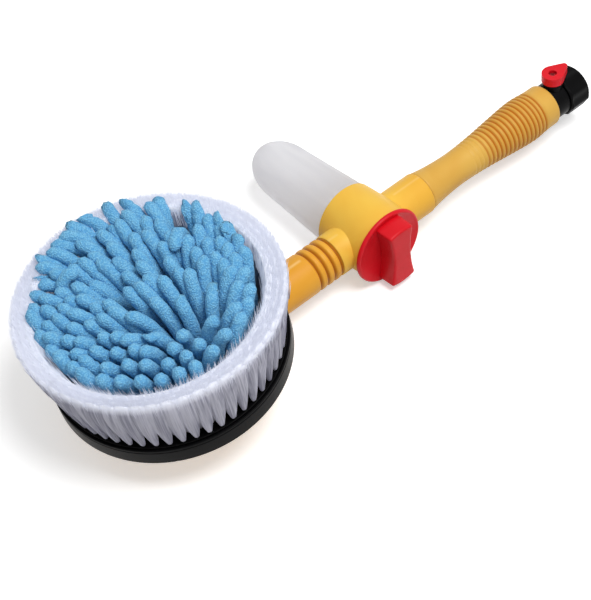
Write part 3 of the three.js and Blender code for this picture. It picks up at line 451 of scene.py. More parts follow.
def spunMesh(outline, sides=96):
    # Turns an outline of [radius, height] points round the Z axis into a closed shape.
    mesh = bmesh.new()
    corners = [mesh.verts.new((point[0], 0, point[1])) for point in outline]
    closed = outline[0][0] > 0
    ends = corners[1:] + corners[:1] if closed else corners[1:]
    edges = [mesh.edges.new(pair) for pair in zip(corners, ends)]
    bmesh.ops.spin(
        mesh, geom=corners + edges, cent=(0, 0, 0), axis=(0, 0, 1), dvec=(0, 0, 0), angle=2 * pi,
        steps=sides, use_merge=True,
    )
    bmesh.ops.remove_doubles(mesh, verts=mesh.verts, dist=0.0001)
    bmesh.ops.recalc_face_normals(mesh, faces=mesh.faces)
    return mesh


def spunPiece(name, outline, place, sides=96):
    return newPiece(name, spunMesh(rounded(outline), sides), place)


def rodPiece(radius, low, high, place, sides=64):
    return spunPiece("tool", [[0, low], [radius, low], [radius, high], [0, high]], place, sides)


def blockPiece(size, middle, place):
    mesh = bmesh.new()
    bmesh.ops.create_cube(mesh, size=1)
    bmesh.ops.scale(mesh, vec=size, verts=mesh.verts)
    bmesh.ops.translate(mesh, vec=middle, verts=mesh.verts)
    return newPiece("tool", mesh, place)


def baked(piece):
    view = bpy.context.evaluated_depsgraph_get()
    data = bpy.data.meshes.new_from_object(piece.evaluated_get(view))
    piece.modifiers.clear()
    piece.data = data
    return piece


def shaped(piece, tools, operation="DIFFERENCE"):
    # Joins or cuts with the tools, and drops them.
    for tool in tools:
        change = piece.modifiers.new("shape", "BOOLEAN")
        change.operation = operation
        change.solver = "EXACT"
        change.object = tool
    baked(piece)
    for tool in tools:
        bpy.data.objects.remove(tool)
    return piece


def softened(piece, width, angle, segments=3):
    edge = piece.modifiers.new("softEdges", "BEVEL")
    edge.width = width * frames["millimetre"]
    edge.segments = segments
    edge.limit_method = "ANGLE"
    edge.angle_limit = radians(angle)
    edge.use_clamp_overlap = True
    edge.harden_normals = False
    return baked(piece)


grooveMarks = {
    "deepest": 1.6,  # depths under the rim past which a point is in the bore
    "fade": 12,  # length over which the least value grows
}


def markGrooves(piece, rim, depth, low, high, least=0):
    # How deep each point lies in a groove, from 0 to 1, for the painted shade in the grooves; ribs
    # get the least value
    groove = piece.data.attributes.new("groove", "FLOAT", "POINT")
    back = handlePlace.inverted()
    for point, mark in zip(piece.data.vertices, groove.data):
        local = back @ point.co
        away = sqrt(local.y**2 + local.z**2)
        level = rim(local.x) if callable(rim) else rim
        inGroove = low < local.x < high and away > level - depth * grooveMarks["deepest"]
        fade = min(1, max(0, (local.x - low) / grooveMarks["fade"]))
        mark.value = min(1, max(least * fade, (level - away) / depth)) if inGroove else 0


def alongX(node):
    # Where a CAD node starts and ends along the handle
    back = handlePlace.inverted()
    return [(back @ corner).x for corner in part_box(node)]


def finished(piece, body, material, replaced=(), sharp=38):
    piece.data.materials.clear()
    piece.data.materials.append(material)
    piece.data.shade_smooth()
    piece.data.set_sharp_from_angle(angle=radians(sharp))
    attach(piece, body)
    if replaced:
        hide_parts(*replaced)
    return piece


# Brush plate: a dish with a lip round its top edge

plateLook = {
    "rim": 75.2, "skirtWall": 3, "top": 13, "under": 10, "dip": 0.4, "bush": 5.1,
    "line": (2.6, 0.35),  # a fine groove round the rim: its place under the top, and its depth
    "notch": (3, 2.2, 1.4), "notchTurns": (-128, -8),
}


def brushPlate():
    look = plateLook
    rim, top, under, bush = look["rim"], look["top"], look["under"], look["bush"]
    skirt, dip = rim - look["skirtWall"], look["dip"]
    down, deep = look["line"]
    outline = [
        [bush, under], [skirt, under], [skirt, 0.3], [skirt + 0.3, 0], [rim - 0.5, 0, 0.4],
        [rim, 0.5, 0.4], [rim, top - down], [rim - deep, top - down + 0.3],
        [rim - deep, top - down + 0.7], [rim, top - down + 1], [rim, top, 0.6],
        [rim - 1.4, top, 0.4], [rim - 1.8, top - dip, 0.3], [bush, top - dip],
    ]
    plate = spunPiece("brushPlate", outline, headPlace, 160)
    notches = []
    for turn in look["notchTurns"]:
        place = headPlace @ Matrix.Rotation(radians(turn), 4, "Z")
        notches.append(blockPiece(look["notch"], (rim, 0, 0), place))
    shaped(plate, notches)
    return finished(plate, "brush", blackAbs, ["brush_plate"])


brushPlate()
print("plate made")

# Back housing: flange, conical hub on its foot, ribs, and the socket for the neck

housingLook = {
    "flange": 70.6, "flangeLow": 0.5, "flangeHigh": 3, "hub": 42, "foot": 35, "wall": 2.6,
    "under": 7,  # how far the hub is made past the floor, before the floor cuts it
    "socketFrom": -130.4,  # from the mixing body along the handle, as the socket's other ends
    "cutter": (300, 300, 100),  # block that takes off what lies under the floor
    "socketTo": -92.27, "socketBore": 11.5, "boreFrom": -118.3, "tube": 14.65, "ribs": 12,
    "rib": (24, 1.8, 5), "ribMiddle": (53, 0, -1.6), "screws": 4, "screwCircle": 47,
    "screwBore": 1.9, "screwBoreEnds": (-1.8, 4), "headBore": 3.5, "headBoreEnds": (-6.5, -1.7),
    "post": (5, 5.2), "postLow": -5.5, "postTop": 2.6, "boss": 6, "bossTop": -20.6, "axleBore": 2.9,
    "axleFrom": -31.2, "axleTo": -19, "screwSeat": -2, "neckScrewX": -100.97,
    "neckScrewLow": -15.65, "neckScrewSeat": -12.45, "neckScrewBore": 1.8, "neckHeadBore": 3.2,
}


def screwPlace(index):
    turn = 2 * pi * (index + 0.5) / housingLook["screws"]
    out = Matrix.Translation((housingLook["screwCircle"], 0, 0))
    return headPlace @ Matrix.Rotation(turn, 4, "Z") @ out


def backHousing():
    look = housingLook
    flange, flangeLow, flangeHigh = look["flange"], look["flangeLow"], look["flangeHigh"]
    hub, wall, under = look["hub"], look["wall"], look["under"]
    footDepth = (frames["headRise"] + frames["handleZ"]) / cos(radians(frames["headTilt"]))
    slope = (hub - look["foot"]) / (flangeLow + footDepth)
    low, lowRadius = -footDepth - under, look["foot"] - slope * under
    shell = spunPiece(
        "backHousing",
        [
            [0, low], [lowRadius, low], [hub, flangeLow, 3], [flange - 0.4, flangeLow, 0.5],
            [flange, flangeLow + 0.5, 0.5], [flange, flangeHigh, 0.5], [0, flangeHigh],
        ],
        headPlace, 128,
    )
    tube, start, end = look["tube"], look["socketFrom"], look["socketTo"]
    socket = [[0, start], [tube, start], [tube, end, 0.6], [0, end]]
    joined = [spunPiece("tool", socket, alongHandle)]
    for index in range(look["ribs"]):
        place = headPlace @ Matrix.Rotation(2 * pi * (index + 0.5) / look["ribs"], 4, "Z")
        joined.append(blockPiece(look["rib"], look["ribMiddle"], place))
    postLow, postTop = look["postLow"], look["postTop"]
    tip, root = look["post"]
    post = [[0, postLow], [tip, postLow, 0.6], [root, postTop], [0, postTop]]
    for index in range(look["screws"]):
        joined.append(spunPiece("tool", post, screwPlace(index), 40))
    shaped(shell, joined, "UNION")
    neck, over = hub - wall, flangeHigh + 1
    hollow = [[0, low], [lowRadius - wall, low], [neck, flangeLow], [neck, over], [0, over]]
    inside = spunPiece("tool", hollow, headPlace, 128)
    size, headX = look["cutter"], -frames["headReach"]
    middle = -frames["handleZ"] - size[2] / 2
    keep = blockPiece(size, (headX, 0, middle + wall), handlePlace)
    shaped(inside, [keep])
    shaped(inside, [rodPiece(look["boss"], low, look["bossTop"], headPlace, 40)])
    neckScrew = handlePlace @ Matrix.Translation((look["neckScrewX"], 0, 0))
    cuts = [
        inside, rodPiece(look["socketBore"], look["boreFrom"], end + 1, alongHandle),
        blockPiece(size, (headX, 0, middle), handlePlace),
        rodPiece(look["axleBore"], look["axleFrom"], look["axleTo"], headPlace, 40),
        rodPiece(look["neckScrewBore"], look["neckScrewLow"], 0, neckScrew, 32),
        rodPiece(look["neckHeadBore"], look["neckScrewLow"], look["neckScrewSeat"], neckScrew, 40),
    ]
    for index in range(look["screws"]):
        cuts.append(rodPiece(look["screwBore"], *look["screwBoreEnds"], screwPlace(index), 32))
        cuts.append(rodPiece(look["headBore"], *look["headBoreEnds"], screwPlace(index), 40))
    shaped(shell, cuts)
    return finished(shell, "frame", yellowPolypropylene, ["back_housing"])


backHousing()
print("housing made")

# Screws: a pan head with a cross recess over a short shank

screwLook = {
    # head radius and height, then shank radius and length
    "housing": (3.2, 2.2, 1.6, 8.6), "neck": (2.9, 1.6, 1.5, 3.9), "axle": (4, 2.4, 1.3, 8.8),
    "lever": (2.5, 1, 1.2, 5.2),
    # where the head's underside sits
    "neckSeat": (housingLook["neckScrewX"], 0, -12.75), "axleSeat": (0, 0, 15.9),
    "leverSeat": (175.3, 0, 21.6),
}


def screwPiece(kind, place, number="", body="frame", material=zincSteel):
    radius, height, shank, length = screwLook[kind]
    outline = [
        [0, -length], [shank * 0.6, -length], [shank, -length + shank * 0.6], [shank, 0],
        [radius, 0, radius * 0.1], [radius, height * 0.45, radius * 0.25],
        [radius * 0.6, height * 0.95, radius * 0.2], [0, height],
    ]
    screw = spunPiece(f"{kind}Screw{number}", outline, place, 48)
    wide, narrow, deep = radius * 1.15, radius * 0.26, height * 1.1
    shaped(
        screw,
        [
            blockPiece((wide, narrow, deep), (0, 0, height), place),
            blockPiece((narrow, wide, deep), (0, 0, height), place),
        ],
    )
    node = f"{kind}_screw_{number}" if number else f"{kind}_screw"
    return finished(screw, body, material, [node])


flipped = Matrix.Rotation(pi, 4, "X")
for number in range(1, housingLook["screws"] + 1):
    seat = screwPlace(number - 1) @ Matrix.Translation((0, 0, housingLook["screwSeat"]))
    screwPiece("housing", seat @ flipped, number)
screwPiece("neck", handlePlace @ Matrix.Translation(screwLook["neckSeat"]) @ flipped)
screwPiece("axle", headPlace @ Matrix.Translation(screwLook["axleSeat"]))
leverSeat = handlePlace @ Matrix.Translation(screwLook["leverSeat"])
screwPiece("lever", leverSeat, body="lever", material=darkRedScrewHead)
print("screws made")

# Neck tube: four narrow grooves between rounded ribs, with a spigot at each end

neckLook = {
    "from": -91.97, "to": -33.1, "tube": 14.65, "bore": 6.5, "headSpigot": 11.2,
    "headSpigotLength": 26, "bodySpigot": 9.2, "bodySpigotLength": 11, "grooves": 4, "pitch": 6,
    "lastGroove": 0.9,  # from the end of the tube
    "grooveDepth": 2, "grooveSharpness": 3, "grooveRows": 110,
    "markFrom": -60,  # where the painted shade in the grooves begins along the tube
    "markUnder": 0.3,  # and how far under its outside
}


def neckTube():
    look = neckLook
    tube, bore, start, end = look["tube"], look["bore"], look["from"], look["to"]
    headSpigot, bodySpigot = look["headSpigot"], look["bodySpigot"]
    headEnd, bodyEnd = start - look["headSpigotLength"], end + look["bodySpigotLength"]
    outline = [[bore, headEnd], [headSpigot, headEnd, 0.5], [headSpigot, start], [tube, start, 0.5]]
    last = end - look["lastGroove"]
    first = last - (look["grooves"] - 0.5) * look["pitch"]
    for x in np.linspace(first, end, look["grooveRows"]):
        wave = 0.5 + 0.5 * cos(2 * pi * (x - last) / look["pitch"])
        outline.append([tube - look["grooveDepth"] * wave ** look["grooveSharpness"], x])
    outline += [[bodySpigot, end], [bodySpigot, bodyEnd, 0.5], [bore, bodyEnd]]
    neck = spunPiece("neckTube", outline, alongHandle)
    under = look["markUnder"]
    markGrooves(neck, tube - under, look["grooveDepth"] - under, look["markFrom"], end)
    return finished(neck, "frame", amberPolypropylene, ["neck_tube"])


neckTube()
print("neck made")

# Mixing body: a bellied barrel across the handle, with a stub at each side

bodyLook = {
    "knobSide": -18.3, "bottleSide": 20.8, "rim": 23.8, "middle": 24.5, "belly": 25.2,
    "stub": 14.65, "stubFront": -32.8, "stubRear": 48.3, "crease": 1.1,
    "creaseNear": (0.06, 0.12),  # how near to the stub and to the barrel a point of the crease is
    # radius, start and end of the bores for the bottle, the knob's stem and the soap tube
    "acrossBores": ((21.3, 12.3, 22), (9.3, -20, 9.3), (11.7, -20, -12.4), (2.5, 8, 13)),
    "acrossSides": (96, 64, 64, 32),
    # and of the waterway, with a seat for a spigot at each end
    "alongBores": ((6.5, -34, 50), (9.5, -34, -21.8), (9.5, 37.3, 50)),
}


def bodyCurve():
    look = bodyLook
    return smoothed(
        [
            (look["knobSide"], look["middle"]), (look["knobSide"] / 2, look["belly"]),
            (0, look["belly"] * 0.995), (look["bottleSide"] / 2, look["middle"]),
            (look["bottleSide"], look["rim"]),
        ],
        10,
    )


def softenCrease(piece):
    # Rounds the line where the stubs leave the barrel.
    back = handlePlace.inverted()
    curve = list(zip(*bodyCurve()))
    nearStub, nearBarrel = bodyLook["creaseNear"]
    mesh = bmesh.new()
    mesh.from_mesh(piece.data)
    crease = []
    for edge in mesh.edges:
        ends = [back @ corner.co for corner in edge.verts]
        onBoth = all(
            abs(sqrt(p.y**2 + p.z**2) - bodyLook["stub"]) < nearStub
            and abs(sqrt(p.x**2 + p.z**2) - float(np.interp(p.y, *curve))) < nearBarrel
            for p in ends
        )
        if onBoth:
            crease.append(edge)
    bmesh.ops.bevel(
        mesh, geom=crease, offset=bodyLook["crease"] * frames["millimetre"], offset_type="OFFSET",
        affect="EDGES", segments=3, profile=0.5, material=-1, clamp_overlap=True,
    )
    mesh.to_mesh(piece.data)
    mesh.free()


def mixingBody():
    look = bodyLook
    curve = [[radius, y] for y, radius in bodyCurve()]
    first, last = curve[0], curve[-1]
    outline = [
        [0, first[1]], [first[0] - 0.5, first[1]], [first[0], first[1] + 0.5, 0.4], *curve[2:-1],
        [last[0], last[1] - 0.6, 0.4], [last[0] - 0.6, last[1]], [0, last[1]],
    ]
    barrel = spunPiece("mixingBody", outline, alongBottle, 128)
    stub, front, rear = look["stub"], look["stubFront"], look["stubRear"]
    stubs = [
        [0, front], [stub - 0.4, front], [stub, front + 0.9, 0.5], [stub, rear - 0.5, 0.4],
        [stub - 0.4, rear], [0, rear],
    ]
    shaped(barrel, [spunPiece("tool", stubs, alongHandle)], "UNION")
    softenCrease(barrel)
    bores = [
        rodPiece(*bore, alongBottle, sides)
        for bore, sides in zip(look["acrossBores"], look["acrossSides"])
    ]
    shaped(barrel, bores + [rodPiece(*bore, alongHandle) for bore in look["alongBores"]])
    return finished(barrel, "frame", yellowPolypropylene, ["mixing_body"])


mixingBody()
print("body made")

# Knob: a thin bevelled flange and a waisted bar to grip

knobLook = {
    "flange": 26.8, "face": -18.6, "front": -21.1, "barLength": 46.4, "barWidth": 20.6,
    "barWaist": 15.4, "barBulge": 1.6, "barTop": -33.9, "barSunk": 0.4,
    "barDraft": (0.97, 1, 0.985),  # the bar's top is a little smaller than its foot
    "edge": 1.5, "lip": 0.5,
}


def mixingKnob():
    look = knobLook
    radius, front, face = look["flange"], look["front"], look["face"]
    outline = [
        [0, front], [radius - 2.2, front], [radius - 1.7, front - 0.25, 0.3],
        [radius - 0.7, front - 0.1, 0.4], [radius, front + 0.8, 0.5], [radius, face - 0.3, 0.2],
        [radius - 0.3, face], [0, face],
    ]
    flange = spunPiece("mixingKnob", outline, alongBottle, 128)
    mesh = bmesh.new()
    bmesh.ops.create_grid(mesh, x_segments=6, y_segments=16, size=1)
    halfLength, halfWidth = look["barLength"] / 2, look["barWidth"] / 2
    pull = (look["barWidth"] - look["barWaist"]) / 2
    root = front + look["barSunk"]
    for corner in mesh.verts:
        x, z = corner.co.x, corner.co.y
        width = halfWidth - pull * (1 - z * z)
        bulge = look["barBulge"] * z**3 * (1 - x * x)
        corner.co = (x * width, root, z * (halfLength - look["barBulge"]) + bulge)
    top = bmesh.ops.extrude_face_region(mesh, geom=mesh.faces[:])
    corners = [part for part in top["geom"] if isinstance(part, bmesh.types.BMVert)]
    bmesh.ops.translate(mesh, vec=(0, look["barTop"] - root, 0), verts=corners)
    bmesh.ops.scale(mesh, vec=look["barDraft"], verts=corners)
    bmesh.ops.recalc_face_normals(mesh, faces=mesh.faces)
    bar = softened(newPiece("tool", mesh, handlePlace), look["edge"], 50, 5)
    shaped(flange, [bar], "UNION")
    softened(flange, look["lip"], 50)
    return finished(flange, "knob", redAbs, ["mixing_knob"], 32)


mixingKnob()
print("knob made")

# Soap bottle: blow moulded, with a beaded neck, a slight taper and a long dome

bottleLook = {
    "neck": 21, "neckFrom": 14.3, "shoulder": 21.1, "body": 22.8, "taper": 19.7, "domeFrom": 78.1,
    "dome": 28, "domeSteps": 18, "wall": 1.4,
}


def soapBottle():
    look = bottleLook
    neck, shoulder, body, wall = look["neck"], look["shoulder"], look["body"], look["wall"]

    def dome(radius, length):
        turns = np.arange(look["domeSteps"]) * (pi / 2 / look["domeSteps"])
        curve = [[radius * cos(turn), look["domeFrom"] + length * sin(turn)] for turn in turns]
        return curve + [[0, look["domeFrom"] + length]]

    low, inner, groove = look["neckFrom"], neck - wall, neck - 0.3
    outline = dome(look["taper"], look["dome"])[::-1] + [
        [body, shoulder + 2.2, 2], [body - 1, shoulder, 0.5], [groove, shoulder],
        [groove, shoulder - 1.6, 0.3], [neck, shoulder - 2.1, 0.3], [neck, shoulder - 2.9, 0.3],
        [groove, shoulder - 3.4, 0.3], [groove, low, 0.3], [inner, low, 0.3],
        [inner, shoulder + 1.5], [body - wall, shoulder + 3.5, 1.5],
    ]
    outline += dome(look["taper"] - wall, look["dome"] - wall)
    bottle = spunPiece("soapBottle", outline, alongBottle, 112)
    return finished(bottle, "bottle", naturalPolyethylene, ["soap_bottle"], 50)


soapBottle()
print("bottle made")

# The soap tube, the bottle's seal and the washer in the hose nut

ringsLook = {
    "tubeBore": 1.2, "tube": 2.2, "tubeFrom": 9.6, "tubeTo": 100, "sealBore": 16.5, "seal": 21,
    "sealFrom": 12.6, "sealTo": 14, "beadEnds": (18.6, 18.9, 19.2), "beadDepth": 0.15,
    "washerBore": 5.5, "washer": 9,
}


def smallRings():
    look = ringsLook
    bore, radius, low, high = look["tubeBore"], look["tube"], look["tubeFrom"], look["tubeTo"]
    outline = [[bore, low], [radius, low], [radius, high, 0.3], [bore, high, 0.2]]
    tube = spunPiece("dipTube", outline, alongBottle, 32)
    finished(tube, "frame", naturalPolyethylene, ["dip_tube"])
    bore, radius, low, high = look["sealBore"], look["seal"], look["sealFrom"], look["sealTo"]
    inner, middle, outer = look["beadEnds"]
    outline = [
        [bore, low, 0.3], [inner, low, 0.1], [middle, low + look["beadDepth"], 0.1],
        [outer, low, 0.1], [radius, low, 0.3], [radius, high, 0.3], [bore, high, 0.3],
    ]
    seal = spunPiece("bottleSeal", outline, alongBottle)
    finished(seal, "frame", nitrileRubber, ["bottle_seal"])
    bore, radius = look["washerBore"], look["washer"]
    low, high = alongX("hose_washer")
    outline = [[bore, low], [radius, low, 0.4], [radius, high, 0.4], [bore, high]]
    washer = spunPiece("hoseWasher", outline, alongHandle, 64)
    finished(washer, "frame", nitrileRubber, ["hose_washer"])


smallRings()

# Grip: a waist, a belly with narrow grooves between rounded ribs, and a plain collar

gripLook = {
    "from": 48.6, "to": 167.6, "waist": 11.42, "belly": 16.15,
    "shares": [
        (0, 0.588), (0.113, 0.207), (0.268, 0), (0.449, 0.228), (0.642, 0.693), (0.802, 1),
        (0.919, 0.8), (1, 0.757),
    ],
    "grooves": 18, "grooveFirst": 90.5, "grooveLast": 153.8, "grooveDepth": 1.15,
    "grooveSharpness": 1.9, "fadeGrooves": 6, "bore": 6.5, "spigot": 9.2, "spigotLength": 11,
    "valveBore": 11.3, "valveDepth": 15, "waistRows": 24, "collarRows": 8, "rowPitch": 0.31,
    "firstDepth": 0.12,  # share of the depth of the first groove
    "crown": 0.12,  # how far the ribs stand up between the grooves
    "sunk": 0.1,  # how far the grooved stretch lies under the plain one
    "markSkip": 3,  # grooves before the painted shade in the grooves begins
    # share of the painted groove shade that the ribs get
    "ribShade": 0.16,
}


def handleGrip():
    look = gripLook
    start, end, bore, spigot = look["from"], look["to"], look["bore"], look["spigot"]
    points = [
        (start + along * (end - start), look["waist"] + swell * (look["belly"] - look["waist"]))
        for along, swell in look["shares"]
    ]
    curve = list(zip(*smoothed(points)))

    def plain(x):
        return float(np.interp(x, *curve))

    pitch = (look["grooveLast"] - look["grooveFirst"]) / (look["grooves"] - 1)
    first = look["grooveFirst"] - pitch / 2
    last = look["grooveLast"] + pitch / 2
    outside = [[plain(start) - 0.3, start]]
    outside += [[plain(x), x] for x in np.linspace(start + 0.3, first, look["waistRows"])]
    for x in np.arange(first + 0.3, last - 0.2, look["rowPitch"]):
        phase = (x - look["grooveFirst"]) / pitch
        dip = (0.5 + 0.5 * cos(2 * pi * phase)) ** look["grooveSharpness"]
        grown = max(0, phase + 0.5) / look["fadeGrooves"]
        fade = min(1, look["firstDepth"] + (1 - look["firstDepth"]) * grown)
        rise = look["crown"] * (1 - dip) - look["sunk"]
        outside.append([plain(x) - look["grooveDepth"] * dip * fade + rise, x])
    outside += [[plain(x), x] for x in np.linspace(last, end - 0.8, look["collarRows"])]
    spigotEnd = start - look["spigotLength"]
    mouth, seat = look["valveBore"], end - look["valveDepth"]
    outline = [
        [bore, spigotEnd], [spigot, spigotEnd, 0.5], [spigot, start], *outside,
        [plain(end) - 0.25, end - 0.2], [plain(end) - 0.8, end], [mouth + 0.4, end],
        [mouth, end - 0.4], [mouth, seat], [bore, seat],
    ]
    grip = spunPiece("handleGrip", outline, alongHandle, 112)
    low = first + look["markSkip"] * pitch
    markGrooves(grip, plain, look["grooveDepth"], low, last, look["ribShade"])
    return finished(grip, "frame", gripPolypropylene, ["handle_grip"], 60)


handleGrip()
print("grip made")

# Valve body with its boss, and the drop-shaped lever on top of it

valveLook = {
    "from": 167.9, "spigotLength": 15, "spigot": 11, "body": 13.2, "bodyEnd": 179.9, "thread": 12.1,
    "threadDepth": 0.5, "threadWidth": 1.4, "threadPitch": 1.9, "end": 189.6, "waterway": 6.5,
    "bore": 9.3, "axis": 175.3, "boss": 7,
    "bossFrom": 168.1,  # the boss is flat where it meets the grip and the nut
    "bossTo": 179.7, "bossLow": 9.4, "bossTop": 17.2, "stemBore": 3.9, "stemEnds": (4, 18),
    "bossBlock": 40,  # the block that trims the boss is this wide, past it on all sides
    "borePlay": 0.01, "boreEnd": 189,
}


def valveBody():
    look = valveLook
    start, bodyEnd, end, body = look["from"], look["bodyEnd"], look["end"], look["body"]
    spigot, spigotEnd, thread = look["spigot"], start - look["spigotLength"], look["thread"]
    root, width = thread - look["threadDepth"], look["threadWidth"]
    seat = alongX("valve_seat_front")[0]
    outline = [
        [look["waterway"], spigotEnd], [spigot, spigotEnd, 0.4], [spigot, start],
        [body - 0.6, start], [body, start + 0.6, 0.4], [body, bodyEnd - 0.5, 0.4],
        [body - 0.5, bodyEnd], [root, bodyEnd],
    ]
    place = bodyEnd + 0.4
    while place < end - width:
        outline += [[root, place], [thread, place + width / 2, 0.2], [root, place + width]]
        place += look["threadPitch"]
    outline += [
        [root, end, 0.4], [look["bore"], end, 0.3], [look["bore"], seat - 0.3],
        [look["waterway"], seat - 0.3],
    ]
    valve = spunPiece("valveBody", outline, alongHandle)
    stem = handlePlace @ Matrix.Translation((look["axis"], 0, 0))
    radius, low, high = look["boss"], look["bossLow"], look["bossTop"]
    outline = [
        [0, low], [radius, low], [radius, high - 1.6, 0.3], [radius - 0.4, high, 0.4], [0, high]
    ]
    boss = spunPiece("tool", outline, stem, 64)
    near, far = look["bossFrom"], look["bossTo"]
    size = (far - near, look["bossBlock"], look["bossBlock"])
    between = blockPiece(size, ((near + far) / 2, 0, 0), handlePlace)
    shaped(boss, [between], "INTERSECT")
    shaped(valve, [softened(boss, 0.5, 50)], "UNION")
    bores = [
        rodPiece(look["stemBore"], *look["stemEnds"], stem, 48),
        rodPiece(look["bore"] - look["borePlay"], seat, look["boreEnd"], alongHandle),
    ]
    shaped(valve, bores)
    return finished(valve, "frame", blackAbs, ["valve_body"], 34)


leverLook = {
    "radius": 7.6, "tip": 2.4, "reach": 11, "under": 17.5, "top": 23.7, "recess": 2.9, "web": 21.3,
    "screwBore": 1.5, "socket": (9.2, 9.2, 3.4), "socketMiddle": 1.2, "edge": 0.55,
}


def valveLever():
    look = leverLook
    tangent = acos((look["radius"] - look["tip"]) / look["reach"])
    mesh = bmesh.new()
    bmesh.ops.create_circle(mesh, cap_ends=True, segments=96, radius=look["radius"])
    for corner in mesh.verts:
        away = corner.co.xy.normalized()
        if away.x > cos(tangent) - 0.001:
            corner.co.x = look["reach"] + look["tip"] * away.x
            corner.co.y = look["tip"] * away.y
    bmesh.ops.translate(mesh, vec=(0, 0, look["under"]), verts=mesh.verts)
    top = bmesh.ops.extrude_face_region(mesh, geom=mesh.faces[:])
    corners = [part for part in top["geom"] if isinstance(part, bmesh.types.BMVert)]
    bmesh.ops.translate(mesh, vec=(0, 0, look["top"] - look["under"]), verts=corners)
    bmesh.ops.recalc_face_normals(mesh, faces=mesh.faces)
    stem = handlePlace @ Matrix.Translation((valveLook["axis"], 0, 0))
    lever = newPiece("valveLever", mesh, stem)
    recess = [
        rodPiece(look["recess"], look["web"], look["top"] + 1, stem, 64),
        rodPiece(look["screwBore"], look["under"] - 1, look["top"], stem, 32),
        blockPiece(look["socket"], (0, 0, look["under"] + look["socketMiddle"]), stem),
    ]
    softened(shaped(lever, recess), look["edge"], 60)
    return finished(lever, "lever", redAbs, ["valve_lever"], 34)


valveBody()
valveLever()
print("valve made")

# Hose nut with broad scalloped ribs, over the barbed tail that the hose goes on

nutLook = {
    "from": 180.2, "length": 17.4, "radius": 15.3, "mouth": 11.9, "mouthDepth": 6, "bore": 12.4,
    "ribs": 9, "ribDepth": 1.15, "ribFade": 1.6, "chamfer": 1.2, "rows": 10, "firstRow": 1.9,
    "rowPitch": 1.5,
}


def hoseNut():
    look = nutLook
    start, radius, bore, mouth = look["from"], look["radius"], look["bore"], look["mouth"]
    end, chamfer = start + look["length"], look["chamfer"]
    first = start + look["firstRow"]
    rows = [[radius, first + row * look["rowPitch"]] for row in range(look["rows"])]
    outline = [
        [bore, start], [radius - chamfer, start, 0.4], [radius, start + chamfer, 0.5], *rows,
        [radius, end - chamfer, 0.5], [radius - chamfer, end, 0.4], [mouth + 0.5, end, 0.3],
        [mouth, end - 0.6], [mouth, end - look["mouthDepth"]], [bore, end - look["mouthDepth"]],
    ]
    mesh = spunMesh(rounded(outline), 216)
    for corner in mesh.verts:
        away = corner.co.xy.length
        if away < radius - chamfer - 0.01:
            continue
        turn = np.arctan2(corner.co.y, corner.co.x)
        wave = 0.5 - 0.5 * cos(look["ribs"] * turn)
        ends = min(corner.co.z - start, end - corner.co.z)
        dip = look["ribDepth"] * wave**0.8 * min(1, ends / look["ribFade"])
        corner.co.xy *= (away - dip) / away
    nut = newPiece("hoseNut", mesh, alongHandle)
    return finished(nut, "nut", blackAbs, ["hose_nut"], 34)


tailLook = {
    "bore": 3.8, "flange": 9, "flangeWidth": 2, "tube": 5.2, "barb": 5.9, "barbs": 2,
    "barbWidth": 1.6, "barbPitch": 3.2,
}


def hoseTail():
    look = tailLook
    near, far = alongX("hose_tail")
    bore, flange, tube = look["bore"], look["flange"], look["tube"]
    shoulder = near + look["flangeWidth"]
    outline = [[bore, near], [flange, near, 0.2], [flange, shoulder, 0.2], [tube, shoulder]]
    for barb in range(look["barbs"], 0, -1):
        start = far - barb * look["barbPitch"] + look["barbWidth"]
        outline += [[tube, start], [look["barb"], start, 0.1], [tube, start + look["barbWidth"]]]
    outline += [[tube, far, 0.3], [bore, far, 0.3]]
    tail = spunPiece("hoseTail", outline, alongHandle, 72)
    return finished(tail, "frame", blackAbs, ["hose_tail"])


hoseNut()
hoseTail()
print("nut made")

# Soft pieces are many copies of one strand, each bent along its own line.


def strandTemplate(sides, rows, rounding):
    # A closed strand along Z from 0 to 1, radius 1, with a rounded top. Rows of corners are kept.
    mesh = bmesh.new()
    bmesh.ops.create_cone(mesh, cap_ends=False, segments=sides, radius1=1, radius2=1, depth=1)
    bmesh.ops.translate(mesh, vec=(0, 0, 0.5), verts=mesh.verts)
    for row in range(1, rows):
        bmesh.ops.bisect_plane(
            mesh, geom=mesh.verts[:] + mesh.edges[:] + mesh.faces[:], plane_co=(0, 0, row / rows),
            plane_no=(0, 0, 1),
        )
    bmesh.ops.holes_fill(mesh, edges=mesh.edges, sides=sides)
    for corner in mesh.verts:
        over = 0.97 * max(0, corner.co.z - (1 - rounding)) / rounding  # 1 would close to a point
        corner.co.xy *= sqrt(max(0, 1 - over**2))
    bmesh.ops.recalc_face_normals(mesh, faces=mesh.faces)
    data = bpy.data.meshes.new("strand")
    mesh.to_mesh(data)
    mesh.free()
    return data


def strandFrames(lines):
    # Directions around and away from the brush's axis, carried from point to point without a twist
    ahead = np.gradient(lines, axis=1)
    ahead /= np.linalg.norm(ahead, axis=2, keepdims=True)
    start = np.cross(ahead[:, 0], lines[:, 0] * (1, 1, 0))
    sides = [start / np.linalg.norm(start, axis=1, keepdims=True)]
    for index in range(1, lines.shape[1]):
        way = ahead[:, index]
        carried = sides[-1] - way * (sides[-1] * way).sum(1, keepdims=True)
        sides.append(carried / np.linalg.norm(carried, axis=1, keepdims=True))
    side = np.stack(sides, 1)
    return side, np.cross(ahead, side)


def copiesOf(template, count):
    # Doubles blocks of copies, which is much faster than one copy at a time.
    mesh = bmesh.new()
    block = template.copy()
    while count:
        if count % 2:
            mesh.from_mesh(block)
        twice = bmesh.new()
        twice.from_mesh(block)
        twice.from_mesh(block)
        twice.to_mesh(block)
        twice.free()
        count //= 2
    bpy.data.meshes.remove(block)
    return mesh


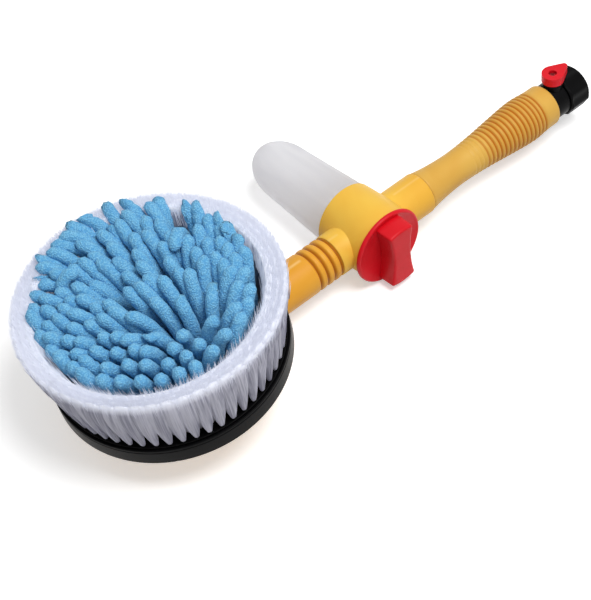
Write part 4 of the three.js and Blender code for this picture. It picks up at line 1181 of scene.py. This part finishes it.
def betweenPoints(template, points):
    # The template's corners, and a function that gives a line's values at their heights
    corners = np.zeros(len(template.vertices) * 3)
    template.vertices.foreach_get("co", corners)
    corners = corners.reshape(-1, 3)
    spot = corners[:, 2] * (points - 1)
    low = np.minimum(spot.astype(int), points - 2)
    share = (spot - low)[None, :, None]
    return corners, lambda values: values[:, low] * (1 - share) + values[:, low + 1] * share


def setCorners(piece, flat):
    # From millimetres in the frame of the head to the piece's own frame
    place = np.array(headPlace)
    world = flat @ place[:3, :3].T + place[:3, 3]
    piece.data.vertices.foreach_set("co", world.ravel())
    piece.data.update()


def strandsPiece(name, template, lines, widths):
    # lines: [strand, point, 3] in millimetres; widths: [strand, point, 2] radii
    piece = newPiece(name, copiesOf(template, len(lines)))
    one, along = betweenPoints(template, lines.shape[1])
    side, other = strandFrames(lines)
    width = along(widths)
    corners = (
        along(lines)
        + along(side) * (one[None, :, :1] * width[..., :1])
        + along(other) * (one[None, :, 1:2] * width[..., 1:])
    )
    flat = corners.reshape(-1, 3)
    setCorners(piece, flat)
    return piece, flat


# Bristle ring: three rows of tufts, tight at the root and merged in a soft band above

bristleLook = {
    "base": 13.3, "backing": 15.3, "top": 59.7, "tufts": 56, "rows": 3, "rowPitch": 4.8,
    "tipPitch": 4, "rootCircle": 71.4, "tipCircle": 83.2, "rootRadius": 1.8, "tipAlong": 2.7,
    "plate": (60.3, 73.4), "plateTop": 14.4,
    "sunk": 0.6,  # how far the tufts begin under the backing's face
    "meet": 0.37,  # how far up the tufts meet
    "merge": 0.9,  # how much wider than their pitch they grow from there to the top
    "flare": 1.25,  # the tufts lean outwards by this power of the height
    "fill": 1.4,  # how fast their depth grows with the height
    "rootRound": (0.1, 0.05),  # share of the width that the root begins with, and how far it grows
    "coreEnd": 0.93, "coreSink": (0.95, 0.6), "corePoints": 11, "coreFade": 0.15, "coreRows": 20,
    "coreSides": 14, "bandLow": 0.44,
    "bandUnder": (2.4, 0.5),  # how far the band lies under the tufts, at its foot and at bandFull
    "bandFull": 0.8, "bandTop": 0.9, "bandSides": 1280, "bandRows": (12, 16), "ripple": 0.22,
    "rippleMm": 1.1,
    "rippleFine": (0.7, 3.1),  # how strong and how many times finer the second ripple is
    "rippleDrift": (0.06, 0.25),  # how fast the ripples change up the band and across its top
    "crownDrop": (-0.01, 0.06),  # how much shorter the innermost and the outermost filaments are
    "crownPower": 3.2,
    "filaments": 140,  # in each tuft, each drawn as thick as a small bundle of real ones
    "filamentFrom": 0.66, "filamentRadius": (0.34, 0.06),
    "sideFilaments": (88, 0, 40),  # of each row
    "sideReach": (0.02, 0.94),  # from this height, and from this share of the tuft's section
    "sideRadius": (0.27, 0.07),
    "splay": (1, 1, 2.2),  # of each row
    "splayPower": 2.2, "uneven": 0.06, "sideSplay": 0.2, "endLift": (4, 12, 12), "limit": 87,
    "upward": (0.72, 0.7),
    "sway": (2.5, 7.1),  # the worn ring leans a little as a whole
    "nearPress": (74, 87, 5),  # on the near side the band's inner edge is pushed outwards
    "squeeze": 0.075,  # and the ring is narrower along "upward", which points to the far side
    "seed": 5,
}


def riseOf(z, look):
    # 0 on a soft piece's backing and 1 at its top
    return np.clip((z - look["backing"]) / (look["top"] - look["backing"]), 0, 1)


def swayed(flat):
    look = bristleLook
    rise = riseOf(flat[..., 2], look)[..., None]
    up = np.array(look["upward"])
    inward = (flat[..., :2] @ up)[..., None] * up * look["squeeze"]
    circle = np.linalg.norm(flat[..., :2], axis=-1, keepdims=True)
    outward = flat[..., :2] / circle
    inner, outer, press = look["nearPress"]
    share = np.where(circle > inner, (outer - circle) / (outer - inner), circle / inner)
    pressed = outward * share * press * np.clip(-outward @ up, 0, 1)[..., None] ** 2
    moved = flat.copy()
    moved[..., :2] += rise**1.5 * (np.array(look["sway"]) - inward + pressed)
    return moved


def tuftShape(row, rise):
    # Middle circle and half sizes of a tuft along and across the radius at a rise from 0 to 1
    look = bristleLook
    root = look["rootCircle"] - row * look["rowPitch"]
    tip = look["tipCircle"] - row * look["tipPitch"]
    circle = root + (tip - root) * rise ** look["flare"]
    grown = np.clip(rise / look["meet"], 0, 1)
    across = pi * circle / look["tufts"]
    wide = 1.04 + look["merge"] * np.clip((rise - look["meet"]) / (1 - look["meet"]), 0, 1)
    half = look["rootRadius"] * (1 - grown) + across * wide * grown
    growth = (look["tipAlong"] - look["rootRadius"]) * np.clip(rise * look["fill"], 0, 1)
    deep = look["rootRadius"] + growth
    least, height = look["rootRound"]
    start = np.sqrt(np.clip(least + rise / height, 0, 1))  # the root's end is round
    return circle, deep * start, half * start


def tuftPoint(circle, angle, rise):
    look = bristleLook
    foot = look["backing"] - look["sunk"]
    z = foot + (look["top"] - foot) * rise
    return np.stack([circle * np.cos(angle), circle * np.sin(angle), z + 0 * angle], -1)


def tuftAngles(row):
    return 2 * pi * (np.arange(bristleLook["tufts"]) + row / 2) / bristleLook["tufts"]


def crown(radius):
    # How high the filaments end at a radius, as a share: the band's top is domed.
    look = bristleLook
    middle = look["tipCircle"] - (look["rows"] - 1) / 2 * look["tipPitch"]
    halfWidth = (look["rows"] - 1) / 2 * look["tipPitch"] + look["tipAlong"]
    share = np.clip((radius - middle) / halfWidth, -1.1, 1.1)
    drop = np.where(share < 0, *look["crownDrop"])
    return 1 - drop * np.abs(share) ** look["crownPower"]


def tuftCores(row):
    look = bristleLook
    rises = np.linspace(0, look["coreEnd"], look["corePoints"])
    circle, deep, half = tuftShape(row, rises)
    angles = tuftAngles(row)[:, None]
    lines = swayed(tuftPoint(circle[None] + 0 * angles, angles + 0 * circle[None], rises[None]))
    end = look["coreEnd"]
    sunk = np.interp(rises, (end - look["coreFade"], end), look["coreSink"])
    widths = np.stack([half * look["coreSink"][0], deep * sunk], -1)[None].repeat(look["tufts"], 0)
    return strandTemplate(look["coreSides"], look["coreRows"], 0.1), lines, widths


def filamentLines(row, perTuft, low, reach, points, splay, thickness):
    # Filaments fill the tuft's section from the share "reach" outwards, and spread at their ends.
    look = bristleLook
    random = np.random.RandomState(look["seed"] + row * 7 + perTuft)
    count = look["tufts"] * perTuft
    which = np.repeat(np.arange(look["tufts"]), perTuft)
    radius = np.sqrt(random.uniform(reach**2, 1, count))
    turn = random.uniform(0, 2 * pi, count)
    away = random.normal(0, splay, (count, 2))
    end = look["tipCircle"] - row * look["tipPitch"] + look["tipAlong"] * radius * np.cos(turn)
    length = crown(end + away[:, 0]) - random.uniform(0, 1, count) ** 2 * look["uneven"]
    rises = low + np.linspace(0, 1, points)[None] * (length - low)[:, None]
    circle, deep, half = tuftShape(row, rises)
    spread = rises ** look["splayPower"]
    out = circle + deep * (radius * np.cos(turn))[:, None] + away[:, :1] * spread
    aside = half * (radius * np.sin(turn))[:, None] + away[:, 1:] * spread
    angle = tuftAngles(row)[which][:, None] + aside / circle
    lines = swayed(tuftPoint(np.minimum(out, look["limit"]), angle, rises))
    thin = np.linspace(*thickness, points)
    widths = np.stack([thin, thin], -1)[None].repeat(count, 0)
    return strandTemplate(3, points - 1, 0.15), lines, widths


def bristleBand():
    # Where the tufts have merged: one ring with fine upright ripples, under the filaments' ends
    look = bristleLook

    def point(row, rise, side):
        circle, deep, _ = tuftShape(row, rise)
        z = look["backing"] + (look["top"] - look["backing"]) * rise
        under = np.interp(rise, (look["bandLow"], look["bandFull"]), look["bandUnder"])
        return [float(circle + side * (deep - under)), float(z)]

    outerRows, overRows = look["bandRows"]
    rises = np.linspace(look["bandLow"], look["bandTop"] - max(look["crownDrop"]), outerRows)
    outer = [point(0, rise, 1) for rise in rises]
    inner = [point(look["rows"] - 1, rise, -1) for rise in rises[::-1]]
    lift = (look["top"] - look["backing"]) * look["bandTop"] + look["backing"] - look["top"]
    over = []
    for radius in np.linspace(outer[-1][0] + 0.5, inner[0][0] + 0.3, overRows):
        z = look["backing"] + (look["top"] - look["backing"]) * float(crown(radius)) + lift
        over.append([float(radius), z])
    mesh = spunMesh(rounded([*outer, *over, *inner]), look["bandSides"])
    (strength, finer), (upward, across) = look["rippleFine"], look["rippleDrift"]
    for corner in mesh.verts:
        away = corner.co.xy.length
        spot = Vector((corner.co.x / away, corner.co.y / away, 0)) * look["tipCircle"]
        spot.z = corner.co.z * upward + away * across
        coarse, fine = spot / look["rippleMm"], spot / look["rippleMm"] / finer
        wave = noise.noise(coarse) + strength * noise.noise(fine)
        corner.co.xy *= (away + wave * look["ripple"]) / away
    flat = np.array([corner.co[:] for corner in mesh.verts])
    for corner, place in zip(mesh.verts, swayed(flat)):
        corner.co = place
    return newPiece("bristleBand", mesh, headPlace), flat


def strandLayer(piece, flat, lift=0):
    # UVs in metres, round the ring and along the strands; a lift brings the white ends further down,
    # over the painted shade of the sides
    angle = np.arctan2(flat[:, 1], flat[:, 0])
    around = angle * bristleLook["rootCircle"] * frames["millimetre"]
    up = (flat[:, 2] + lift) * frames["millimetre"]
    layer = piece.data.uv_layers.new(name="strands")
    corners = np.zeros(len(piece.data.loops), int)
    piece.data.loops.foreach_get("vertex_index", corners)
    pairs = np.stack([around[corners], up[corners]], -1)
    layer.data.foreach_set("uv", pairs.ravel())


def bristleRing():
    look = bristleLook
    (inner, outer), low, high = look["plate"], look["base"], look["plateTop"]
    outline = [[inner, low], [outer, low], [outer, high, 0.3], [inner, high, 0.3]]
    backing = spunPiece("bristleBacking", outline, headPlace, 128)
    finished(backing, "brush", blackAbs, ["bristle_ring"])
    band, flat = bristleBand()
    # The band's top is lifted clear of the sides' painted shade.
    onTop = np.clip(flat[:, 2] - look["top"] * look["bandTop"] + 4, 0, 2)
    strandLayer(band, flat, onTop * 4)
    finished(band, "brush", whiteFilaments, ["bristle_ring"], 180)
    for row in range(look["rows"]):
        splay, count = look["splay"][row], look["sideFilaments"][row]
        tips = (look["filaments"], look["filamentFrom"], 0, 4, splay, look["filamentRadius"])
        sides = (count, *look["sideReach"], 7, look["sideSplay"], look["sideRadius"])
        parts = {"Cores": tuftCores(row), "Tips": filamentLines(row, *tips)}
        if count:
            parts["Sides"] = filamentLines(row, *sides)
        for kind, strands in parts.items():
            piece, flat = strandsPiece(f"bristle{kind}{row + 1}", *strands)
            strandLayer(piece, flat, look["endLift"][row] if kind == "Tips" else 0)
            finished(piece, "brush", whiteFilaments, ["bristle_ring"], 80)


bristleRing()
print("bristles made")

# Chenille pad: thick noodles on a round base, which lean over each other to one side

chenilleLook = {
    "pitch": (8.6, 8.2),  # along the rows and from row to row
    "gridReach": 8,  # rows on each side of the middle one, past the pad's edge
    "jitter": 0.45, "base": 13.3, "backing": 15.3, "padRadius": 58.8, "hole": 9, "placeRadius": 56,
    "top": 62.5, "radius": 4.15, "rootRadius": 2.8,
    "full": 0.35,  # how far up the noodles reach their full radius
    "length": (50, 56), "points": 10,
    "lengthAt": (-0.9, -0.2, 0.2, 0.8),  # shares of the radius towards the far side
    "lengthShare": (0.86, 1, 1, 1.2), "rightward": (0.743, -0.664),
    "leanAt": (-0.8, 0, 0.4, 0.7),  # shares of the radius along "rightward"
    "leanTurn": (140, 125, 98, 50),  # degrees
    "leanBack": 60,  # degrees less towards the far side
    "leanSpread": 0.1,
    "bend": (66, 84, 50, 40),  # degrees from upright at the tip
    "bendUneven": 5,
    "bendAt": (-0.9, -0.45, 0, 0.3, 0.9),  # shares of the radius towards the far side
    "bendShare": (0.05, 0.3, 0.9, 0.9, 0.74), "flareAt": (-0.8, 0), "flare": (0.74, 0.3),
    "spring": 0.02,  # of the way back to where a point began, at each step
    "smooth": 0.18,  # share of its neighbours' shift that a point takes on
    "push": 0.22,  # share of an overlap that each side moves
    "pairReach": 2.6,  # radii within which two points are tried against each other
    "room": 10,  # how much further out than the pad the tips may lie
    "farRoom": 12,  # and how much more on the far side, over the bristles
    "overSlope": (2.5, 1.25),  # which begins half way up
    "farTurn": 85,  # degrees
    "squash": 0.88,  # the noodles press into each other
    "topPress": 0.6,  # radii by which they stay under the top
    "sunk": 1,  # they begin this far under the backing's face
    "upright": 2.5,  # and their second point stays this far above it
    "settleSteps": 160, "pairSteps": 10, "sides": 16, "rows": 25, "roughMm": 0.6,
    "roughCoarse": 0.75,  # how often the roughness repeats per millimetre
    "roughFine": (0.6, 1.7),  # strength and rate of its finer part
    "seed": 11,
}


def noodleStart():
    look = chenilleLook
    random = np.random.RandomState(look["seed"])
    reach = look["gridReach"]
    row, place = np.mgrid[-reach : reach + 1, -reach : reach + 1].reshape(2, -1)
    along = np.array(look["rightward"])
    across = np.array((-along[1], along[0]))
    root = along * ((place + row % 2 / 2) * look["pitch"][0])[:, None]
    root += across * (row * look["pitch"][1])[:, None]
    root += random.normal(0, look["jitter"], (len(row), 2))
    circle = np.linalg.norm(root, axis=1)
    root = root[(circle > look["hole"]) & (circle < look["placeRadius"])]
    count, points = len(root), look["points"]
    length = random.uniform(*look["length"], count)
    rightward = root @ along / look["placeRadius"]
    backward = root @ across / look["placeRadius"]
    length *= np.interp(backward, look["lengthAt"], look["lengthShare"])
    turn = np.interp(rightward, look["leanAt"], look["leanTurn"])
    turn = np.radians(turn - look["leanBack"] * np.maximum(backward, 0))
    turn += random.normal(0, look["leanSpread"], count)
    bend = np.interp(rightward, look["leanAt"], look["bend"])
    bend += random.normal(0, look["bendUneven"], count)
    bend *= np.interp(backward, look["bendAt"], look["bendShare"])
    pull = np.stack([np.cos(turn), np.sin(turn)], -1) * np.radians(bend)[:, None]
    flare = np.interp(backward, look["flareAt"], look["flare"])
    pull += root / look["placeRadius"] * flare[:, None]
    bend = np.linalg.norm(pull, axis=1)
    rises = np.linspace(0, 1, points)
    angle = bend[:, None] * (rises[:-1] + rises[1:]) / 2
    step = (length / (points - 1))[:, None]
    line = np.zeros((count, points, 3))
    line[:, 0, :2] = root
    line[..., 2] = look["backing"]
    out = np.cumsum(np.sin(angle) * step, 1)
    line[:, 1:, :2] = root[:, None] + (pull / bend[:, None])[:, None] * out[..., None]
    line[:, 1:, 2] += np.cumsum(np.cos(angle) * step, 1)
    growth = (look["radius"] - look["rootRadius"]) * np.clip(rises / look["full"], 0, 1)
    thick = look["rootRadius"] + growth
    return root, length, line, thick


def settledNoodles():
    # Noodles push each other apart, keep their lengths, and lean on the bristle ring.
    look = chenilleLook
    root, length, line, thick = noodleStart()
    count, points = line.shape[:2]
    step = length / (points - 1)
    start = line.copy()
    strand = np.repeat(np.arange(count), points)
    reach = np.tile(thick, count) * look["squash"]
    far, (slope, offset) = radians(look["farTurn"]), look["overSlope"]
    for turn in range(look["settleSteps"]):
        flat = line.reshape(-1, 3)
        if turn % look["pairSteps"] == 0:
            near = strand[:, None] < strand[None, :]
            for values in flat.T:
                near &= np.abs(values[:, None] - values[None]) < look["pairReach"] * look["radius"]
            one, two = np.nonzero(near)
        gap = flat[one] - flat[two]
        away = np.linalg.norm(gap, axis=1) + 1e-9
        deep = np.maximum(0, reach[one] + reach[two] - away)
        push = gap * (deep / away * look["push"])[:, None]
        for axis in range(3):
            flat[:, axis] += np.bincount(one, push[:, axis], len(flat))
            flat[:, axis] -= np.bincount(two, push[:, axis], len(flat))
        line = flat.reshape(count, points, 3)
        away = line - start
        bent = (away[:, :-2] + away[:, 2:]) / 2 - away[:, 1:-1]
        line[:, 1:-1] += bent * look["smooth"] - away[:, 1:-1] * look["spring"]
        out = np.linalg.norm(line[..., :2], axis=2)
        rise = riseOf(line[..., 2], look)
        facing = np.cos(np.arctan2(line[..., 1], line[..., 0]) - far)
        above = np.clip(rise * slope - offset, 0, 1)
        over = look["farRoom"] * np.clip(facing, 0, 1) * above
        room = look["padRadius"] - thick + rise * look["room"] + over
        line[..., :2] *= np.minimum(1, room / np.maximum(out, 0.1))[..., None]
        line[..., 2] = np.clip(line[..., 2], look["backing"], look["top"] - thick * look["topPress"])
        line[:, 0, :2] = root
        line[:, 0, 2] = look["backing"] - look["sunk"]
        line[:, 1, 2] = np.maximum(line[:, 1, 2], look["backing"] + look["upright"])
        for index in range(1, points):
            part = line[:, index] - line[:, index - 1]
            part *= step[:, None] / np.linalg.norm(part, axis=1, keepdims=True)
            line[:, index] = line[:, index - 1] + part
    return line, thick


def roughened(piece, flat, lines, template):
    # The pile makes the noodles' outline uneven.
    _, along = betweenPoints(template, lines.shape[1])
    outward = flat - along(lines).reshape(-1, 3)
    outward /= np.maximum(np.linalg.norm(outward, axis=1, keepdims=True), 0.01)
    look, bumps = chenilleLook, []
    strength, rate = look["roughFine"]
    for point in flat:
        coarse, fine = Vector(point) * look["roughCoarse"], Vector(point) * rate
        bumps.append(noise.noise(coarse) + strength * noise.noise(fine))
    setCorners(piece, flat + outward * (np.array(bumps)[:, None] * look["roughMm"]))


def chenillePad():
    look = chenilleLook
    hole, radius, low, high = look["hole"], look["padRadius"], look["base"], look["backing"]
    outline = [[hole, low], [radius, low], [radius, high, 0.8], [hole, high, 0.8]]
    base = spunPiece("chenilleBase", outline, headPlace, 128)
    finished(base, "brush", blueChenille, ["chenille_pad"])
    settled, thick = settledNoodles()
    lines = swayed(settled)
    widths = np.stack([thick, thick], -1)[None].repeat(len(lines), 0)
    template = strandTemplate(look["sides"], look["rows"], 0.1)
    piece, flat = strandsPiece("chenilleNoodles", template, lines, widths)
    roughened(piece, flat, lines, template)
    # The rise sets the painted shade at the noodles' roots.
    rise = piece.data.attributes.new("rise", "FLOAT", "POINT")
    rise.data.foreach_set("value", riseOf(flat[:, 2], look))
    finished(piece, "brush", blueChenille, ["chenille_pad"], 180)


chenillePad()
print("chenille made")

# The CAD nodes that stay get the material of their slot.

for name, item in frame["nodes"].items():
    if item.hide_render:
        continue
    subpart = next(row for row in frame["record"]["subparts"] if row["node"] == name)
    item.data.materials.clear()
    item.data.materials.append(slotMaterials[subpart["material_slot"]])

# Floor, light and camera

studioLook = {
    "floor": "F4F4F4",
    "floorHalf": 3,  # metres, as the places below
    "floorBounce": "BEBEBE",  # the paper as the object sees it
    "floorLift": 0.42, "background": 1.0,
    "fill": 0.45,  # strength of the light from all round
    "key": 16.6,  # watts
    "keyPlace": (0.26, -0.52, 1.42), "keySize": 0.8, "aim": (0.13, 0, 0.04),
}


def straightRay(material):
    # 1 for what the camera sees, also through the bottle and in reflections
    seen = addNode(material, "LightPath", (), out="Is Camera Ray")
    for name in ("Is Transmission Ray", "Is Glossy Ray"):
        ray = addNode(material, "LightPath", (), out=name)
        seen = addNode(material, "Math", (seen, ray), {"operation": "MAXIMUM"})
    return seen


def studio():
    look = studioLook
    mesh = bmesh.new()
    bmesh.ops.create_grid(mesh, x_segments=1, y_segments=1, size=look["floorHalf"])
    floor = newPiece("floor", mesh)
    material = newMaterial("matt white paper backdrop")
    ray = straightRay(material)
    bounce, seen = linearColor(look["floorBounce"]), linearColor(look["floor"])
    paper = addNode(
        material, "BsdfPrincipled",
        {
            "Base Color": addNode(material, "Mix", {0: ray, 6: bounce, 7: seen}, ofColors, 2),
            "Roughness": 0.9, "Specular IOR Level": 0.1, "Emission Color": (1, 1, 1, 1),
            "Emission Strength": addNode(material, "MapRange", (ray, 0, 1, 0, look["floorLift"])),
        },
    )
    addNode(material, "OutputMaterial", (paper,))
    floor.data.materials.append(material)

    world = bpy.data.worlds.new("studio")
    bpy.context.scene.world = world
    world.use_nodes = True
    world.node_tree.nodes.clear()
    levels = (straightRay(world), 0, 1, look["fill"], look["background"])
    strength = addNode(world, "MapRange", levels)
    light = addNode(world, "Background", {"Color": (1, 1, 1, 1), "Strength": strength})
    addNode(world, "OutputWorld", (light,))

    lamp = bpy.data.lights.new("softBox", "AREA")
    lamp.energy = look["key"]
    lamp.shape = "DISK"
    lamp.size = look["keySize"]
    box = bpy.data.objects.new("softBox", lamp)
    bpy.context.scene.collection.objects.link(box)
    place = Vector(look["keyPlace"])
    aim = Vector(look["aim"]) - place
    box.matrix_world = Matrix.Translation(place) @ aim.to_track_quat("-Z", "Y").to_matrix().to_4x4()


studio()

cameraLook = {
    "place": (-0.3779, -0.6265, 0.8571), "forward": (0.408, 0.543, -0.734),
    "right": (0.743, -0.664, -0.079), "lens": 108,
}


def camera():
    look = cameraLook
    forward = Vector(look["forward"]).normalized()
    right = Vector(look["right"])
    right = (right - forward * right.dot(forward)).normalized()
    up = right.cross(forward)
    turn = Matrix((right, up, -forward)).transposed().to_4x4()
    data = bpy.data.cameras.new("camera")
    data.sensor_width = 36
    data.lens = look["lens"]
    item = bpy.data.objects.new("camera", data)
    item.matrix_world = Matrix.Translation(look["place"]) @ turn
    bpy.context.scene.collection.objects.link(item)
    bpy.context.scene.camera = item


camera()
bpy.context.scene.view_settings.view_transform = "Standard"
print("studio made")
